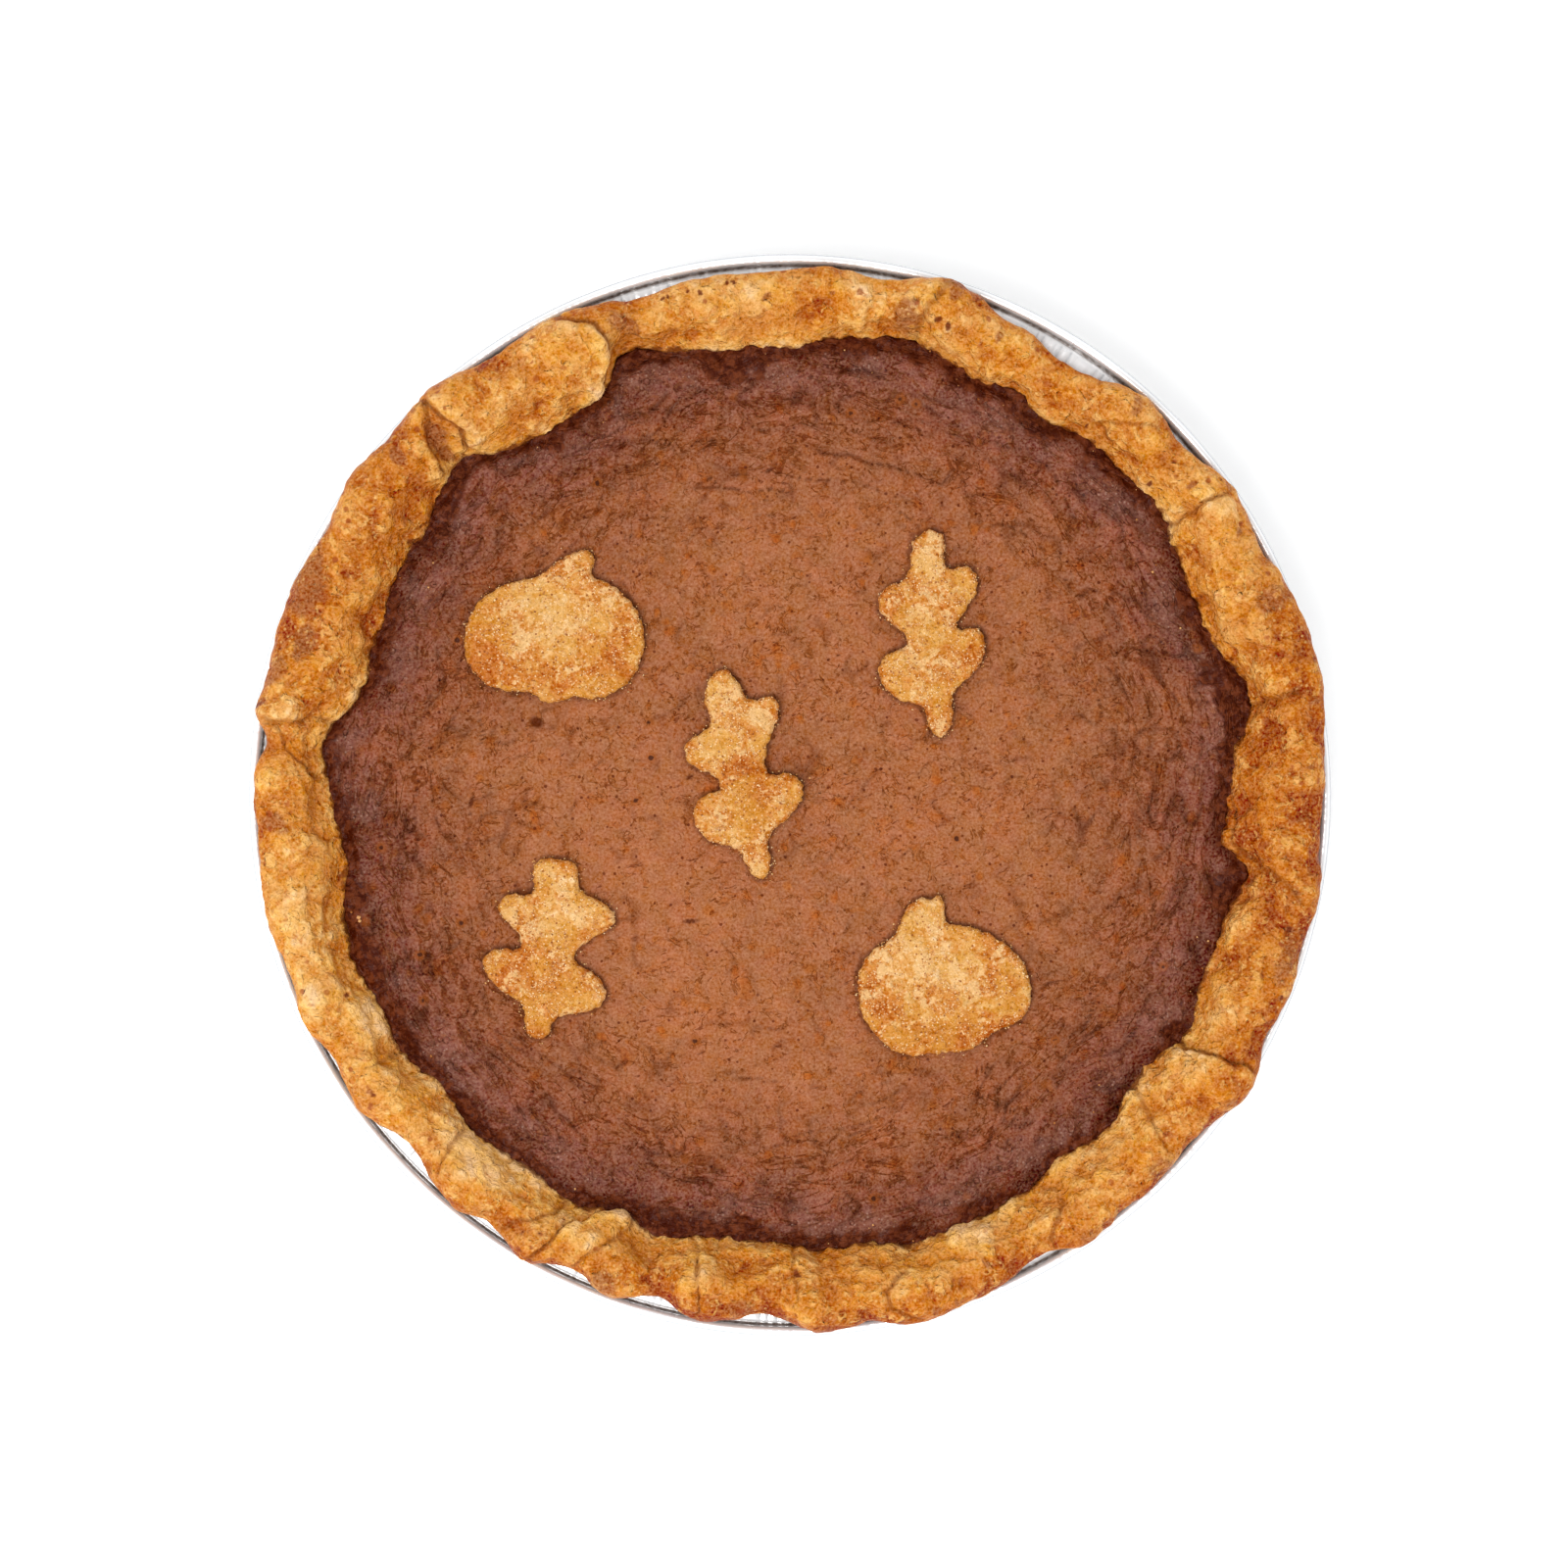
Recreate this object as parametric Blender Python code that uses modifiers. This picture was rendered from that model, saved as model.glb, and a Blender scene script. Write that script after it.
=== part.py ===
"""Pumpkin pie baked in a round foil tin, with five pastry cut-outs on top.

Metres, +Z up. The origin is on the tin's axis, at the underside of its base.
"""
import math

import bmesh
import bpy
import numpy as np

MM = 0.001
GAP = 0.3 * MM            # between pieces that touch

# foil tin
TIN_RADIUS = 122.0 * MM
TIN_BASE_RADIUS = 90.4 * MM
TIN_SHEET = 0.5 * MM
TIN_STEPS = 96

# crust
CRUST_STEPS = 120
CRUST_FLOOR_TOP = 4.4 * MM
CRUST_INNER_FLOOR_RADIUS = 88.2 * MM
RIM_FOOT_HEIGHT = 34.2 * MM
RIM_CREST_HEIGHT = 39.3 * MM
RIM_OUTER_SHARE = 0.38    # share of the rim's width that lies outside its crest

# filling
FILLING_EDGE_HEIGHT = 28.7 * MM
FILLING_TOP_HEIGHT = 29.9 * MM

# cut-outs
CUTOUT_THICKNESS = 3.0 * MM

# The rim's outer edge: angle in degrees from +X, reach in mm. Crimped lobes reach
# over the tin's rolled edge and the dips between them leave it bare.
RIM_REACH = (
    (0, 120), (14, 122.5), (22, 121.7), (28, 119.5), (35, 121), (42, 118), (47, 120),
    (57, 115.2), (65, 117.3), (72, 121.7), (80, 117.5), (86, 119.2), (92, 117.6),
    (100, 118), (106, 116.8), (115, 119.5), (124, 119.2), (133, 122), (137, 120.5),
    (144, 122), (150, 120), (160, 121.4), (166, 120.5), (171, 121.3), (174, 118.3),
    (178, 120.6), (188, 120), (193, 120.8), (200, 119.2), (205, 120.7), (210, 118.3),
    (216, 120), (222, 116.2), (231, 119.5), (235, 117.3), (240, 120.8), (245, 116.7),
    (250, 119.7), (255, 116.7), (260, 120), (267, 116.8), (274, 121.3), (278, 119.7),
    (283, 122), (292, 120.7), (299, 117.8), (304, 121), (309, 119.5), (313, 120.5),
    (318, 119), (328, 122.7), (333, 120.3), (337, 121), (343, 120), (349, 121.3),
    (355, 119.8),
)

# The rim's inner edge, where the filling meets it: angle in degrees, radius in mm.
FILLING_REACH = (
    (0, 99), (6, 101.4), (11, 105.2), (15, 105.2), (19, 102), (26, 100.5), (30, 102),
    (37, 105.4), (46, 104), (50, 104.5), (56, 102.5), (61, 104), (64, 102.8),
    (76, 105.8), (80, 104.3), (91, 100.8), (97, 101.4), (103, 103.2), (111, 105.8),
    (115, 100.3), (122, 97.8), (129, 100), (134, 106.4), (138, 105), (144, 101.4),
    (147, 102), (158, 99.4), (165, 99.3), (174, 106.5), (180, 103.3), (188, 100.8),
    (198, 104.7), (207, 104), (215, 104.1), (219, 102), (228, 104), (236, 103),
    (242, 104.3), (248, 101.2), (252, 104), (259, 101.4), (268, 101), (273, 102.8),
    (277, 102), (286, 105), (301, 104), (305, 101.7), (314, 103.4), (320, 101.2),
    (325, 101), (328, 104.7), (338, 101.3), (345, 102), (350, 104.5), (354, 98),
    (359, 98.7),
)

# Cut-out outlines in mm about their own middle, clockwise; smooth curves join the points.
PUMPKIN_LEFT = (
    (3.3, 16.3), (7.6, 17.1), (9.2, 15.4), (8.3, 12.0), (12.5, 9.8), (17.3, 5.5), (20.2, -1.0),
    (19.3, -8.4), (15.3, -13.6), (8.5, -16.2), (4.8, -15.6), (-1.2, -17.0), (-5.5, -14.8),
    (-12.4, -14.0), (-18.3, -9.9), (-20.2, -3.5), (-18.3, 3.7), (-12.8, 8.8), (-3.6, 11.6),
)
PUMPKIN_RIGHT = (
    (-5.2, 17.4), (-2.8, 17.0), (-1.4, 18.1), (-0.3, 17.0), (0.4, 12.0), (6.4, 10.8),
    (16.3, 4.8), (19.4, -2.4), (18.0, -9.2), (11.0, -12.8), (6.2, -16.6), (-2.6, -17.4),
    (-9.0, -17.9), (-16.6, -12.2), (-19.4, -4.0), (-18.0, 3.6), (-11.2, 9.0), (-8.4, 15.0),
)
LEAF_UPPER = (
    (-0.5, 23.4), (2.4, 22.0), (3.4, 14.8), (7.8, 15.2), (10.3, 11.5), (7.4, 5.0), (5.6, 1.3),
    (10.4, 1.2), (12.0, -2.5), (10.6, -7.5), (5.0, -13.2), (4.4, -20.6), (2.0, -23.4),
    (-0.3, -21.4), (-2.0, -16.6), (-8.1, -14.4), (-12.0, -8.8), (-10.2, -4.7), (-5.5, -2.3),
    (-6.3, 0.1), (-11.6, 4.8), (-11.4, 9.3), (-5.3, 13.3), (-4.3, 20.4),
)
LEAF_CENTRE = (
    (-4.6, 23.8), (-1.4, 20.8), (1.3, 16.7), (6.6, 17.4), (8.0, 14.6), (5.5, 6.8), (5.5, 0.2),
    (10.2, 0.2), (13.5, -3.4), (9.9, -9.8), (5.4, -14.8), (6.2, -21.0), (3.6, -23.7),
    (0.9, -21.2), (-1.4, -16.9), (-7.6, -15.1), (-11.3, -9.2), (-9.0, -5.0), (-5.2, -3.2),
    (-6.0, -0.9), (-12.2, 2.4), (-13.2, 6.5), (-7.6, 10.9), (-8.9, 17.4), (-7.3, 22.0),
)
LEAF_LOWER = (
    (-3.3, 19.3), (1.9, 20.3), (5.9, 18.7), (6.8, 13.4), (12.6, 9.9), (14.8, 6.3), (9.4, 2.2),
    (5.4, -2.2), (10.9, -6.4), (12.6, -11.4), (7.4, -14.4), (1.6, -15.4), (-0.8, -19.9),
    (-4.6, -19.4), (-6.0, -12.7), (-12.2, -8.4), (-14.9, -2.9), (-12.4, -0.2), (-6.5, 0.4),
    (-7.0, 3.4), (-11.6, 9.2), (-9.6, 12.2), (-3.9, 12.5),
)

# name, outline, middle of the cut-out on the pie in mm
CUTOUTS = (
    ("pumpkin_cutout_left", PUMPKIN_LEFT, (-53.2, 37.9)),
    ("pumpkin_cutout_right", PUMPKIN_RIGHT, (34.8, -40.6)),
    ("leaf_cutout_upper", LEAF_UPPER, (32.0, 36.4)),
    ("leaf_cutout_centre", LEAF_CENTRE, (-10.4, 4.8)),
    ("leaf_cutout_lower", LEAF_LOWER, (-54.2, -34.6)),
)


def clear_scene():
    for obj in list(bpy.data.objects):
        bpy.data.objects.remove(obj, do_unlink=True)


def make_collection(name):
    collection = bpy.data.collections.new(name)
    bpy.context.scene.collection.children.link(collection)
    return collection


def make_material(name, colour, roughness, metallic=0.0):
    material = bpy.data.materials.new(name)
    material.use_nodes = True
    shader = material.node_tree.nodes["Principled BSDF"]
    shader.inputs["Base Color"].default_value = (*colour, 1.0)
    shader.inputs["Roughness"].default_value = roughness
    shader.inputs["Metallic"].default_value = metallic
    return material


def foil_material():
    return make_material("foil", (0.62, 0.62, 0.64), 0.32, metallic=1.0)


def crust_material():
    return make_material("baked_crust", (0.62, 0.30, 0.09), 0.6)


def filling_material():
    return make_material("pumpkin_filling", (0.33, 0.105, 0.042), 0.4)


def cutout_material():
    return make_material("sugared_pastry", (0.74, 0.36, 0.12), 0.7)


def add_mesh(name, verts, faces, material, collection):
    """Four-sided faces are split along their shorter diagonal, so that facing skins match."""
    mesh = bpy.data.meshes.new(name)
    mesh.from_pydata(verts, [], faces)
    bm = bmesh.new()
    bm.from_mesh(mesh)
    bmesh.ops.triangulate(bm, faces=bm.faces, quad_method="SHORT_EDGE")
    bm.to_mesh(mesh)
    bm.free()
    mesh.materials.append(material)
    mesh.shade_smooth()
    mesh.set_sharp_from_angle(angle=math.radians(40))
    obj = bpy.data.objects.new(name, mesh)
    collection.objects.link(obj)
    return obj


def smooth_ring(stations, degrees):
    """Radius in metres at each angle: a curve that levels out at every station."""
    angle = np.array([station[0] for station in stations], dtype=float)
    radius = np.array([station[1] for station in stations], dtype=float)
    angle = np.append(angle, angle[0] + 360.0)
    radius = np.append(radius, radius[0])
    index = np.searchsorted(angle, degrees, side="right") - 1
    share = (degrees - angle[index]) / (angle[index + 1] - angle[index])
    ease = (1.0 - np.cos(math.pi * share)) / 2.0
    return (radius[index] + (radius[index + 1] - radius[index]) * ease) * MM


def crest_heights(reach, degrees):
    """Lobes that reach further out also stand higher, over a slow wave round the rim."""
    wave = 0.7 * np.sin(np.radians(3 * degrees + 40)) + 0.4 * np.sin(np.radians(7 * degrees))
    return RIM_CREST_HEIGHT + 0.35 * (reach - 119.5 * MM) + wave * MM


def loft(name, rings, angles, material, collection):
    """A closed skin through rings of (radius, height), from the axis below to the axis above."""
    steps = len(angles)
    verts = [(0.0, 0.0, rings[0][1])]
    for radius, height in rings[1:-1]:
        radius = np.broadcast_to(radius, steps)
        height = np.broadcast_to(height, steps)
        verts += zip(radius * np.cos(angles), radius * np.sin(angles), height)
    verts.append((0.0, 0.0, rings[-1][1]))
    top = len(verts) - 1
    last = top - steps
    faces = []
    for i in range(steps):
        j = (i + 1) % steps
        faces.append((0, 1 + j, 1 + i))
        faces.append((last + i, last + j, top))
    for k in range(len(rings) - 3):
        low = 1 + k * steps
        high = low + steps
        for i in range(steps):
            j = (i + 1) % steps
            faces.append((low + i, low + j, high + j, high + i))
    return add_mesh(name, verts, faces, material, collection)


def tin_profile():
    """Radius and height from the middle of the floor, over the wall and rim, to the underside."""
    inside = [
        (0.0, TIN_SHEET),
        (TIN_BASE_RADIUS - 0.2 * MM, TIN_SHEET),
        (TIN_BASE_RADIUS + 1.0 * MM, 0.9 * MM),
        (112.7 * MM, 29.7 * MM),
        (113.9 * MM, 30.4 * MM),
        (118.4 * MM, 30.7 * MM),
        (119.1 * MM, 30.3 * MM),
        (119.8 * MM, 31.5 * MM),
    ]
    bead = [
        (TIN_RADIUS - 1.1 * MM, 32.0 * MM),
        (TIN_RADIUS - 0.25 * MM, 31.6 * MM),
        (TIN_RADIUS, 30.9 * MM),
        (TIN_RADIUS - 0.25 * MM, 30.1 * MM),
        (TIN_RADIUS - 1.1 * MM, 29.7 * MM),
    ]
    outside = [
        (119.0 * MM, 29.8 * MM),
        (114.0 * MM, 29.9 * MM),
        (113.1 * MM, 29.3 * MM),
        (TIN_BASE_RADIUS + 1.25 * MM, 0.4 * MM),
        (TIN_BASE_RADIUS, 0.0),
        (0.0, 0.0),
    ]
    return inside + bead + outside


def build_tin(collection):
    """The profile turned once round the Z axis."""
    profile = tin_profile()
    verts = [(radius, 0.0, height) for radius, height in profile]
    edges = [(i, i + 1) for i in range(len(verts) - 1)]
    mesh = bpy.data.meshes.new("foil_tin")
    mesh.from_pydata(verts, edges, [])
    mesh.materials.append(foil_material())
    obj = bpy.data.objects.new("foil_tin", mesh)
    collection.objects.link(obj)
    screw = obj.modifiers.new("turn", "SCREW")
    screw.angle = math.tau
    screw.steps = TIN_STEPS
    screw.render_steps = TIN_STEPS
    screw.use_merge_vertices = True
    screw.merge_threshold = 0.00001
    screw.use_smooth_shade = True
    return obj


def build_crust(collection):
    """A shell in the tin whose folded rim lies on the tin's flange, as a loft round the pie."""
    degrees = np.arange(CRUST_STEPS) * 360.0 / CRUST_STEPS
    angles = np.radians(degrees)
    reach = smooth_ring(RIM_REACH, degrees)
    inner = smooth_ring(FILLING_REACH, degrees)
    crest = crest_heights(reach, degrees)
    width = reach - inner
    rings = [
        (0.0, TIN_SHEET + GAP),
        (TIN_BASE_RADIUS - 0.5 * MM, TIN_SHEET + GAP),
        (TIN_BASE_RADIUS + 0.7 * MM, 1.3 * MM),
        (112.3 * MM, 30.0 * MM),
        (113.3 * MM, 30.8 * MM),
        (np.minimum(118.3 * MM, reach - 1.6 * MM), 31.1 * MM),
        (np.minimum(119.3 * MM, reach - 0.9 * MM), 32.35 * MM),
    ]
    outer_width = RIM_OUTER_SHARE * width
    for turn in np.radians((0.0, 30.0, 60.0, 90.0)):
        radius = reach - outer_width * (1.0 - math.cos(turn))
        rings.append((radius, RIM_FOOT_HEIGHT + (crest - RIM_FOOT_HEIGHT) * math.sin(turn)))
    inner_width = width - outer_width
    for share in (0.35, 0.7, 1.0):
        radius = reach - outer_width - inner_width * share
        slope = math.cos(math.pi / 2 * share)
        rings.append((radius, FILLING_EDGE_HEIGHT + (crest - FILLING_EDGE_HEIGHT) * slope))
    rings.append((CRUST_INNER_FLOOR_RADIUS, CRUST_FLOOR_TOP))
    rings.append((0.0, CRUST_FLOOR_TOP))
    return loft("crust", rings, angles, crust_material(), collection)


def build_filling(collection):
    """The custard: it fills the crust up to the rim's inner edge and is level in the middle."""
    degrees = np.arange(CRUST_STEPS) * 360.0 / CRUST_STEPS
    inner = smooth_ring(FILLING_REACH, degrees)
    rings = [
        (0.0, CRUST_FLOOR_TOP + GAP),
        (CRUST_INNER_FLOOR_RADIUS - GAP, CRUST_FLOOR_TOP + GAP),
        (inner - 1.5 * GAP, FILLING_EDGE_HEIGHT),
        (inner - 4.0 * MM, FILLING_TOP_HEIGHT - 0.3 * MM),
        (inner - 9.0 * MM, FILLING_TOP_HEIGHT),
        (0.0, FILLING_TOP_HEIGHT),
    ]
    return loft("filling", rings, np.radians(degrees), filling_material(), collection)


def build_cutout(name, outline, middle, material, collection):
    """A flat biscuit of even thickness lying on the filling."""
    curve = bpy.data.curves.new(name, "CURVE")
    curve.dimensions = "2D"
    curve.fill_mode = "BOTH"
    curve.extrude = CUTOUT_THICKNESS / 2
    curve.resolution_u = 3
    curve.render_resolution_u = 3
    spline = curve.splines.new("BEZIER")
    spline.bezier_points.add(len(outline) - 1)
    for point, (x, y) in zip(spline.bezier_points, outline):
        point.co = (x * MM, y * MM, 0.0)
        point.handle_left_type = "AUTO"
        point.handle_right_type = "AUTO"
    spline.use_cyclic_u = True
    curve.materials.append(material)
    obj = bpy.data.objects.new(name, curve)
    height = FILLING_TOP_HEIGHT + GAP + CUTOUT_THICKNESS / 2
    obj.location = (middle[0] * MM, middle[1] * MM, height)
    collection.objects.link(obj)
    return obj


def main():
    clear_scene()
    collection = make_collection("pumpkin_pie")
    build_tin(collection)
    build_crust(collection)
    build_filling(collection)
    pastry = cutout_material()
    for name, outline, middle in CUTOUTS:
        build_cutout(name, outline, middle, pastry, collection)


main()
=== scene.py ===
import math

import bpy
import numpy as np
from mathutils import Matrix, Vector


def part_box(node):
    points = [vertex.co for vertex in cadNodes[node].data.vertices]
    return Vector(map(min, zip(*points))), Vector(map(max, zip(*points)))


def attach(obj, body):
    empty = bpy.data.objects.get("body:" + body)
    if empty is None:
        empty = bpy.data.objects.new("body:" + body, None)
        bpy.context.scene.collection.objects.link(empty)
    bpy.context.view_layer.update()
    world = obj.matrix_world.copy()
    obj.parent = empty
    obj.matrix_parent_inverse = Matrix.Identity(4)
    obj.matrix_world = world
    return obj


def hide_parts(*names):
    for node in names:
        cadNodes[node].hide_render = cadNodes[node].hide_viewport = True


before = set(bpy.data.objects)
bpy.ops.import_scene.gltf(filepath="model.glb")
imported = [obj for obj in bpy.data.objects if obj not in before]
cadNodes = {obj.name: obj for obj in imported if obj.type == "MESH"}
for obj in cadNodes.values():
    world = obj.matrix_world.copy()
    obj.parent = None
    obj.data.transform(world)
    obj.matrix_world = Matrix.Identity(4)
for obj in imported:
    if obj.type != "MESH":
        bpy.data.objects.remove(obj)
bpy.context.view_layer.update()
mm = 0.001
print("frame loaded with", len(cadNodes), "solids")


# Noise and curves

noiseDirections = np.random.default_rng(11).normal(size=(4096, 3))
noiseDirections /= np.linalg.norm(noiseDirections, axis=1)[:, None]


def latticePick(corner, seed):
    # A repeatable number from 0 to 4095 for each lattice corner: the three whole
    # coordinates times large primes, mixed by exclusive or and shifts.
    key = corner[:, 0] * 73856093 ^ corner[:, 1] * 19349663 ^ corner[:, 2] * 83492791
    key = (key ^ seed * 26544357) * 1274126177
    return (key ^ (key >> 15)) & 4095


def softNoise(points, cell, seed):
    # Gradient noise: a random direction at each corner of a cubic lattice, dotted with the
    # offset from that corner, blended between corners by 6t^5 - 15t^4 + 10t^3.
    scaled = points / cell
    base = np.floor(scaled).astype(np.int64)
    part = scaled - base
    blend = part**3 * (part * (part * 6 - 15) + 10)
    result = np.zeros(len(points))
    for index in range(8):
        offset = np.array((index & 1, index >> 1 & 1, index >> 2 & 1))
        slope = noiseDirections[latticePick(base + offset, seed)]
        weight = np.prod(np.where(offset == 1, blend, 1 - blend), axis=1)
        result += weight * np.sum(slope * (part - offset), axis=1)
    return result * 1.5


def cloudNoise(points, cell, seed, layers=3, keep=0.5):
    # Layers of gradient noise, each at half the cell and keep times the height of the last.
    return sum(keep**n * softNoise(points, cell / 2**n, seed + 31 * n) for n in range(layers))


def vectorNoise(points, cell, seed):
    # Three gradient noises from neighbouring seeds, one for each axis.
    return np.stack([softNoise(points, cell, seed + axis) for axis in range(3)], -1)


def cellNoise(points, cell, seed):
    # Distance to the nearest of the random points, one in each lattice cell, in cells.
    scaled = points / cell
    base = np.floor(scaled).astype(np.int64)
    nearest = np.full(len(points), 9)
    for index in range(27):
        corner = base + np.array((index % 3, index // 3 % 3, index // 9)) - 1
        spot = corner + 0.5 + 0.45 * noiseDirections[latticePick(corner, seed)]
        nearest = np.minimum(nearest, np.sum((scaled - spot) ** 2, axis=1))
    return np.sqrt(nearest)


def smoothStep(low, high, value):
    # 3t^2 - 2t^3, with t the clamped share of the way from low to high.
    share = np.clip((value - low) / (high - low), 0, 1)
    return share * share * (3 - 2 * share)


def bell(*offsets):
    # 1 where all offsets are zero, falling off as exp of minus the sum of their squares.
    return np.exp(-sum(offset**2 for offset in offsets))


def thinLines(points, cell, width, seed):
    # 1 along the lines where gradient noise passes through zero, falling off as a bell.
    return bell(softNoise(points, cell, seed) / width)


def patches(points, cell, seed, low, high):
    # Smooth steps of gradient noise: 0 where it is below low, 1 where it is above high.
    return smoothStep(low, high, softNoise(points, cell, seed))


def closedCurve(values, share):
    # Catmull-Rom cubic through values evenly spaced round a circle; share 0 to 1 goes round.
    values, count = np.asarray(values), len(values)
    place = share % 1 * count
    index = np.floor(place).astype(int)
    t = place - index
    a, b, c, d = (values[(index + k) % count] for k in (-1, 0, 1, 2))
    return b + t * (c - a) / 2 + t**2 * (a - 2.5 * b + 2 * c - d / 2) + t**3 * (3 * (b - c) + d - a) / 2


def levelPoints(x, y):
    # Points at x and y and height zero.
    return np.stack((x, y, np.zeros_like(x)), -1)


def onCircle(turn, radius):
    # Points at the angles turn on a level circle round the axis.
    return levelPoints(radius * np.cos(turn), radius * np.sin(turn))


# Mesh building

def makePiece(name, points, quads, tris, material, slotName, standsFor=()):
    # points (n, 3), quads (q, 4) and tris (t, 3) become a smooth mesh object on the root body.
    mesh = bpy.data.meshes.new(name)
    mesh.vertices.add(len(points))
    mesh.vertices.foreach_set("co", np.ascontiguousarray(points, dtype=np.float32).ravel())
    corners = np.concatenate((np.ravel(quads), np.ravel(tris))).astype(np.int32)
    starts = np.concatenate((np.arange(len(quads)) * 4, len(quads) * 4 + np.arange(len(tris)) * 3))
    mesh.loops.add(len(corners))
    mesh.loops.foreach_set("vertex_index", corners)
    mesh.polygons.add(len(starts))
    mesh.polygons.foreach_set("loop_start", starts.astype(np.int32))
    mesh.update(calc_edges=True)
    mesh.validate()
    mesh.shade_smooth()
    mesh.materials.append(material)
    piece = bpy.data.objects.new(name, mesh)
    bpy.context.scene.collection.objects.link(piece)
    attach(piece, "root")
    if standsFor:
        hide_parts(*standsFor)
    print(name, "made:", len(mesh.polygons), "faces")
    return piece


def addValues(piece, **layers):
    # For each named layer one number, or one vector, for every vertex, for the materials to
    # read. Vertices past the end of the values, which lie out of sight, get zero.
    for name, values in layers.items():
        missing = len(piece.data.vertices) - len(values)
        values = np.concatenate((values, np.zeros((missing, *values.shape[1:])))).astype(np.float32)
        kind, field = ("FLOAT", "value") if values.ndim == 1 else ("FLOAT_VECTOR", "vector")
        piece.data.attributes.new(name, kind, "POINT").data.foreach_set(field, values.ravel())


def gridCells(index):
    # The four corners of each cell of a grid of vertex numbers.
    return np.stack((index[:-1, :-1], index[:-1, 1:], index[1:, 1:], index[1:, :-1]), -1).reshape(-1, 4)


def joinLoops(first, second):
    # Quads between two closed loops of vertex numbers.
    return np.stack((np.roll(first, -1), first, second, np.roll(second, -1)), -1)


def closedSkin(grid, firstPole, lastPole, flip=False):
    # Rings of points, with quads from ring to ring and a fan from each end ring to a point
    # on the axis. Rings that run up the outside and down the inside face outwards.
    rings, columns = grid.shape[:2]
    points = np.concatenate((grid.reshape(-1, 3), [[0, 0, firstPole], [0, 0, lastPole]]))
    index = np.arange(rings * columns).reshape(rings, columns)
    following = np.roll(index, -1, axis=1)
    quads = gridCells(np.column_stack((index, index[:, 0])))
    pole = np.full(columns, rings * columns)
    tris = np.concatenate((np.stack((following[0], index[0], pole), -1),
                           np.stack((index[-1], following[-1], pole + 1), -1)))
    return (points, quads[:, ::-1], tris[:, (1, 0, 2)]) if flip else (points, quads, tris)


def skinNormals(grid):
    # Cross product of the steps round and along a closed skin, at each grid point.
    around = np.roll(grid, -1, axis=1) - np.roll(grid, 1, axis=1)
    normal = np.cross(around, np.gradient(grid, axis=0))
    return normal / (np.linalg.norm(normal, axis=-1, keepdims=True) + 1e-12)


# Material nodes

making = {}   # the node tree being filled, its shader, its Object coordinates and the colour so far


def feed(value, socket):
    # A number, vector or colour is typed in, and a socket is wired.
    if isinstance(value, bpy.types.NodeSocket):
        making["tree"].links.new(value, socket)
    elif isinstance(value, (tuple, list)):
        socket.default_value = (*value, 1)[:len(socket.default_value)]
    else:
        socket.default_value = value


def addNode(kind, settings=(), **inputs):
    # A node of this kind. Inputs are named as on the node, with _ for a space, or _0 for the first.
    node = making["tree"].nodes.new("ShaderNode" + kind)
    for setting, value in settings:
        setattr(node, setting, value)
    for name, value in inputs.items():
        socket = int(name[1:]) if name[0] == "_" else name.replace("_", " ")
        feed(value, node.inputs[socket])
    return node


def startMaterial(name, roughness, metallic=0, specular=0.5):
    # A new material, whose nodes the next functions fill.
    material = bpy.data.materials.new(name)
    material.use_nodes = True
    making["tree"] = material.node_tree
    making["shader"] = material.node_tree.nodes["Principled BSDF"]
    making["place"] = addNode("TexCoord").outputs["Object"]
    wire(roughness, "Roughness")
    wire(metallic, "Metallic")
    wire(specular, "Specular IOR Level")
    return material


def wire(value, socket):
    # Sets an input of the material's shader.
    feed(value, making["shader"].inputs[socket])


def noise(cell, detail=2, rough=0.5, warp=0, place=None, output="Fac"):
    # Soft noise with cells of this many mm.
    node = addNode("TexNoise", Vector=place or making["place"], Scale=1 / (cell * mm), Detail=detail,
                   Roughness=rough, Distortion=warp)
    return node.outputs[output]


def cells(cell, output="Distance", place=None):
    # Distance to the nearest scattered point, in cells of this many mm, or that cell's own random colour.
    return addNode("TexVoronoi", Vector=place or making["place"], Scale=1 / (cell * mm)).outputs[output]


def bentPlace(cell, amount):
    # The place moved by up to amount mm by slow noise.
    bend = noise(cell, 1, output="Color")
    return addNode("VectorMath", (("operation", "MULTIPLY_ADD"),), _0=bend, _1=[amount * mm] * 3,
                   _2=making["place"]).outputs[0]


def drawnOut(length, turn):
    # The place squeezed along one level direction, so that a pattern on it is drawn out.
    return addNode("Mapping", (("vector_type", "TEXTURE"),), Vector=making["place"],
                   Rotation=(0, 0, turn), Scale=(length, 1, 1)).outputs["Vector"]


def readValues(name, output="Fac"):
    # The values that addValues has put on the mesh.
    return addNode("Attribute", (("attribute_name", name),)).outputs[output]


def calc(operation, a, b=0):
    # a and b added, multiplied and so on.
    return addNode("Math", (("operation", operation),), _0=a, _1=b).outputs[0]


def times(a, b):
    # a times b.
    return calc("MULTIPLY", a, b)


def larger(a, b):
    # The larger one at each place.
    return calc("MAXIMUM", a, b)


def total(first, *others):
    # The sum of them all.
    for value in others:
        first = calc("ADD", first, value)
    return first


def wobble(texture, amount):
    # Noise about zero, from minus to plus half the amount.
    return times(calc("SUBTRACT", texture, 0.5), amount)


def near(texture, middle, reach, full=0):
    # 1 where the texture is within full of the middle, and 0 where it is further off than reach.
    return spread(calc("ABSOLUTE", calc("SUBTRACT", texture, middle)), reach, full)


def spread(value, low, high, outLow=0, outHigh=1):
    # A smooth step from outLow at low to outHigh at high.
    return addNode("MapRange", (("interpolation_type", "SMOOTHSTEP"),), Value=value, From_Min=low,
                   From_Max=high, To_Min=outLow, To_Max=outHigh).outputs["Result"]


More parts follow.
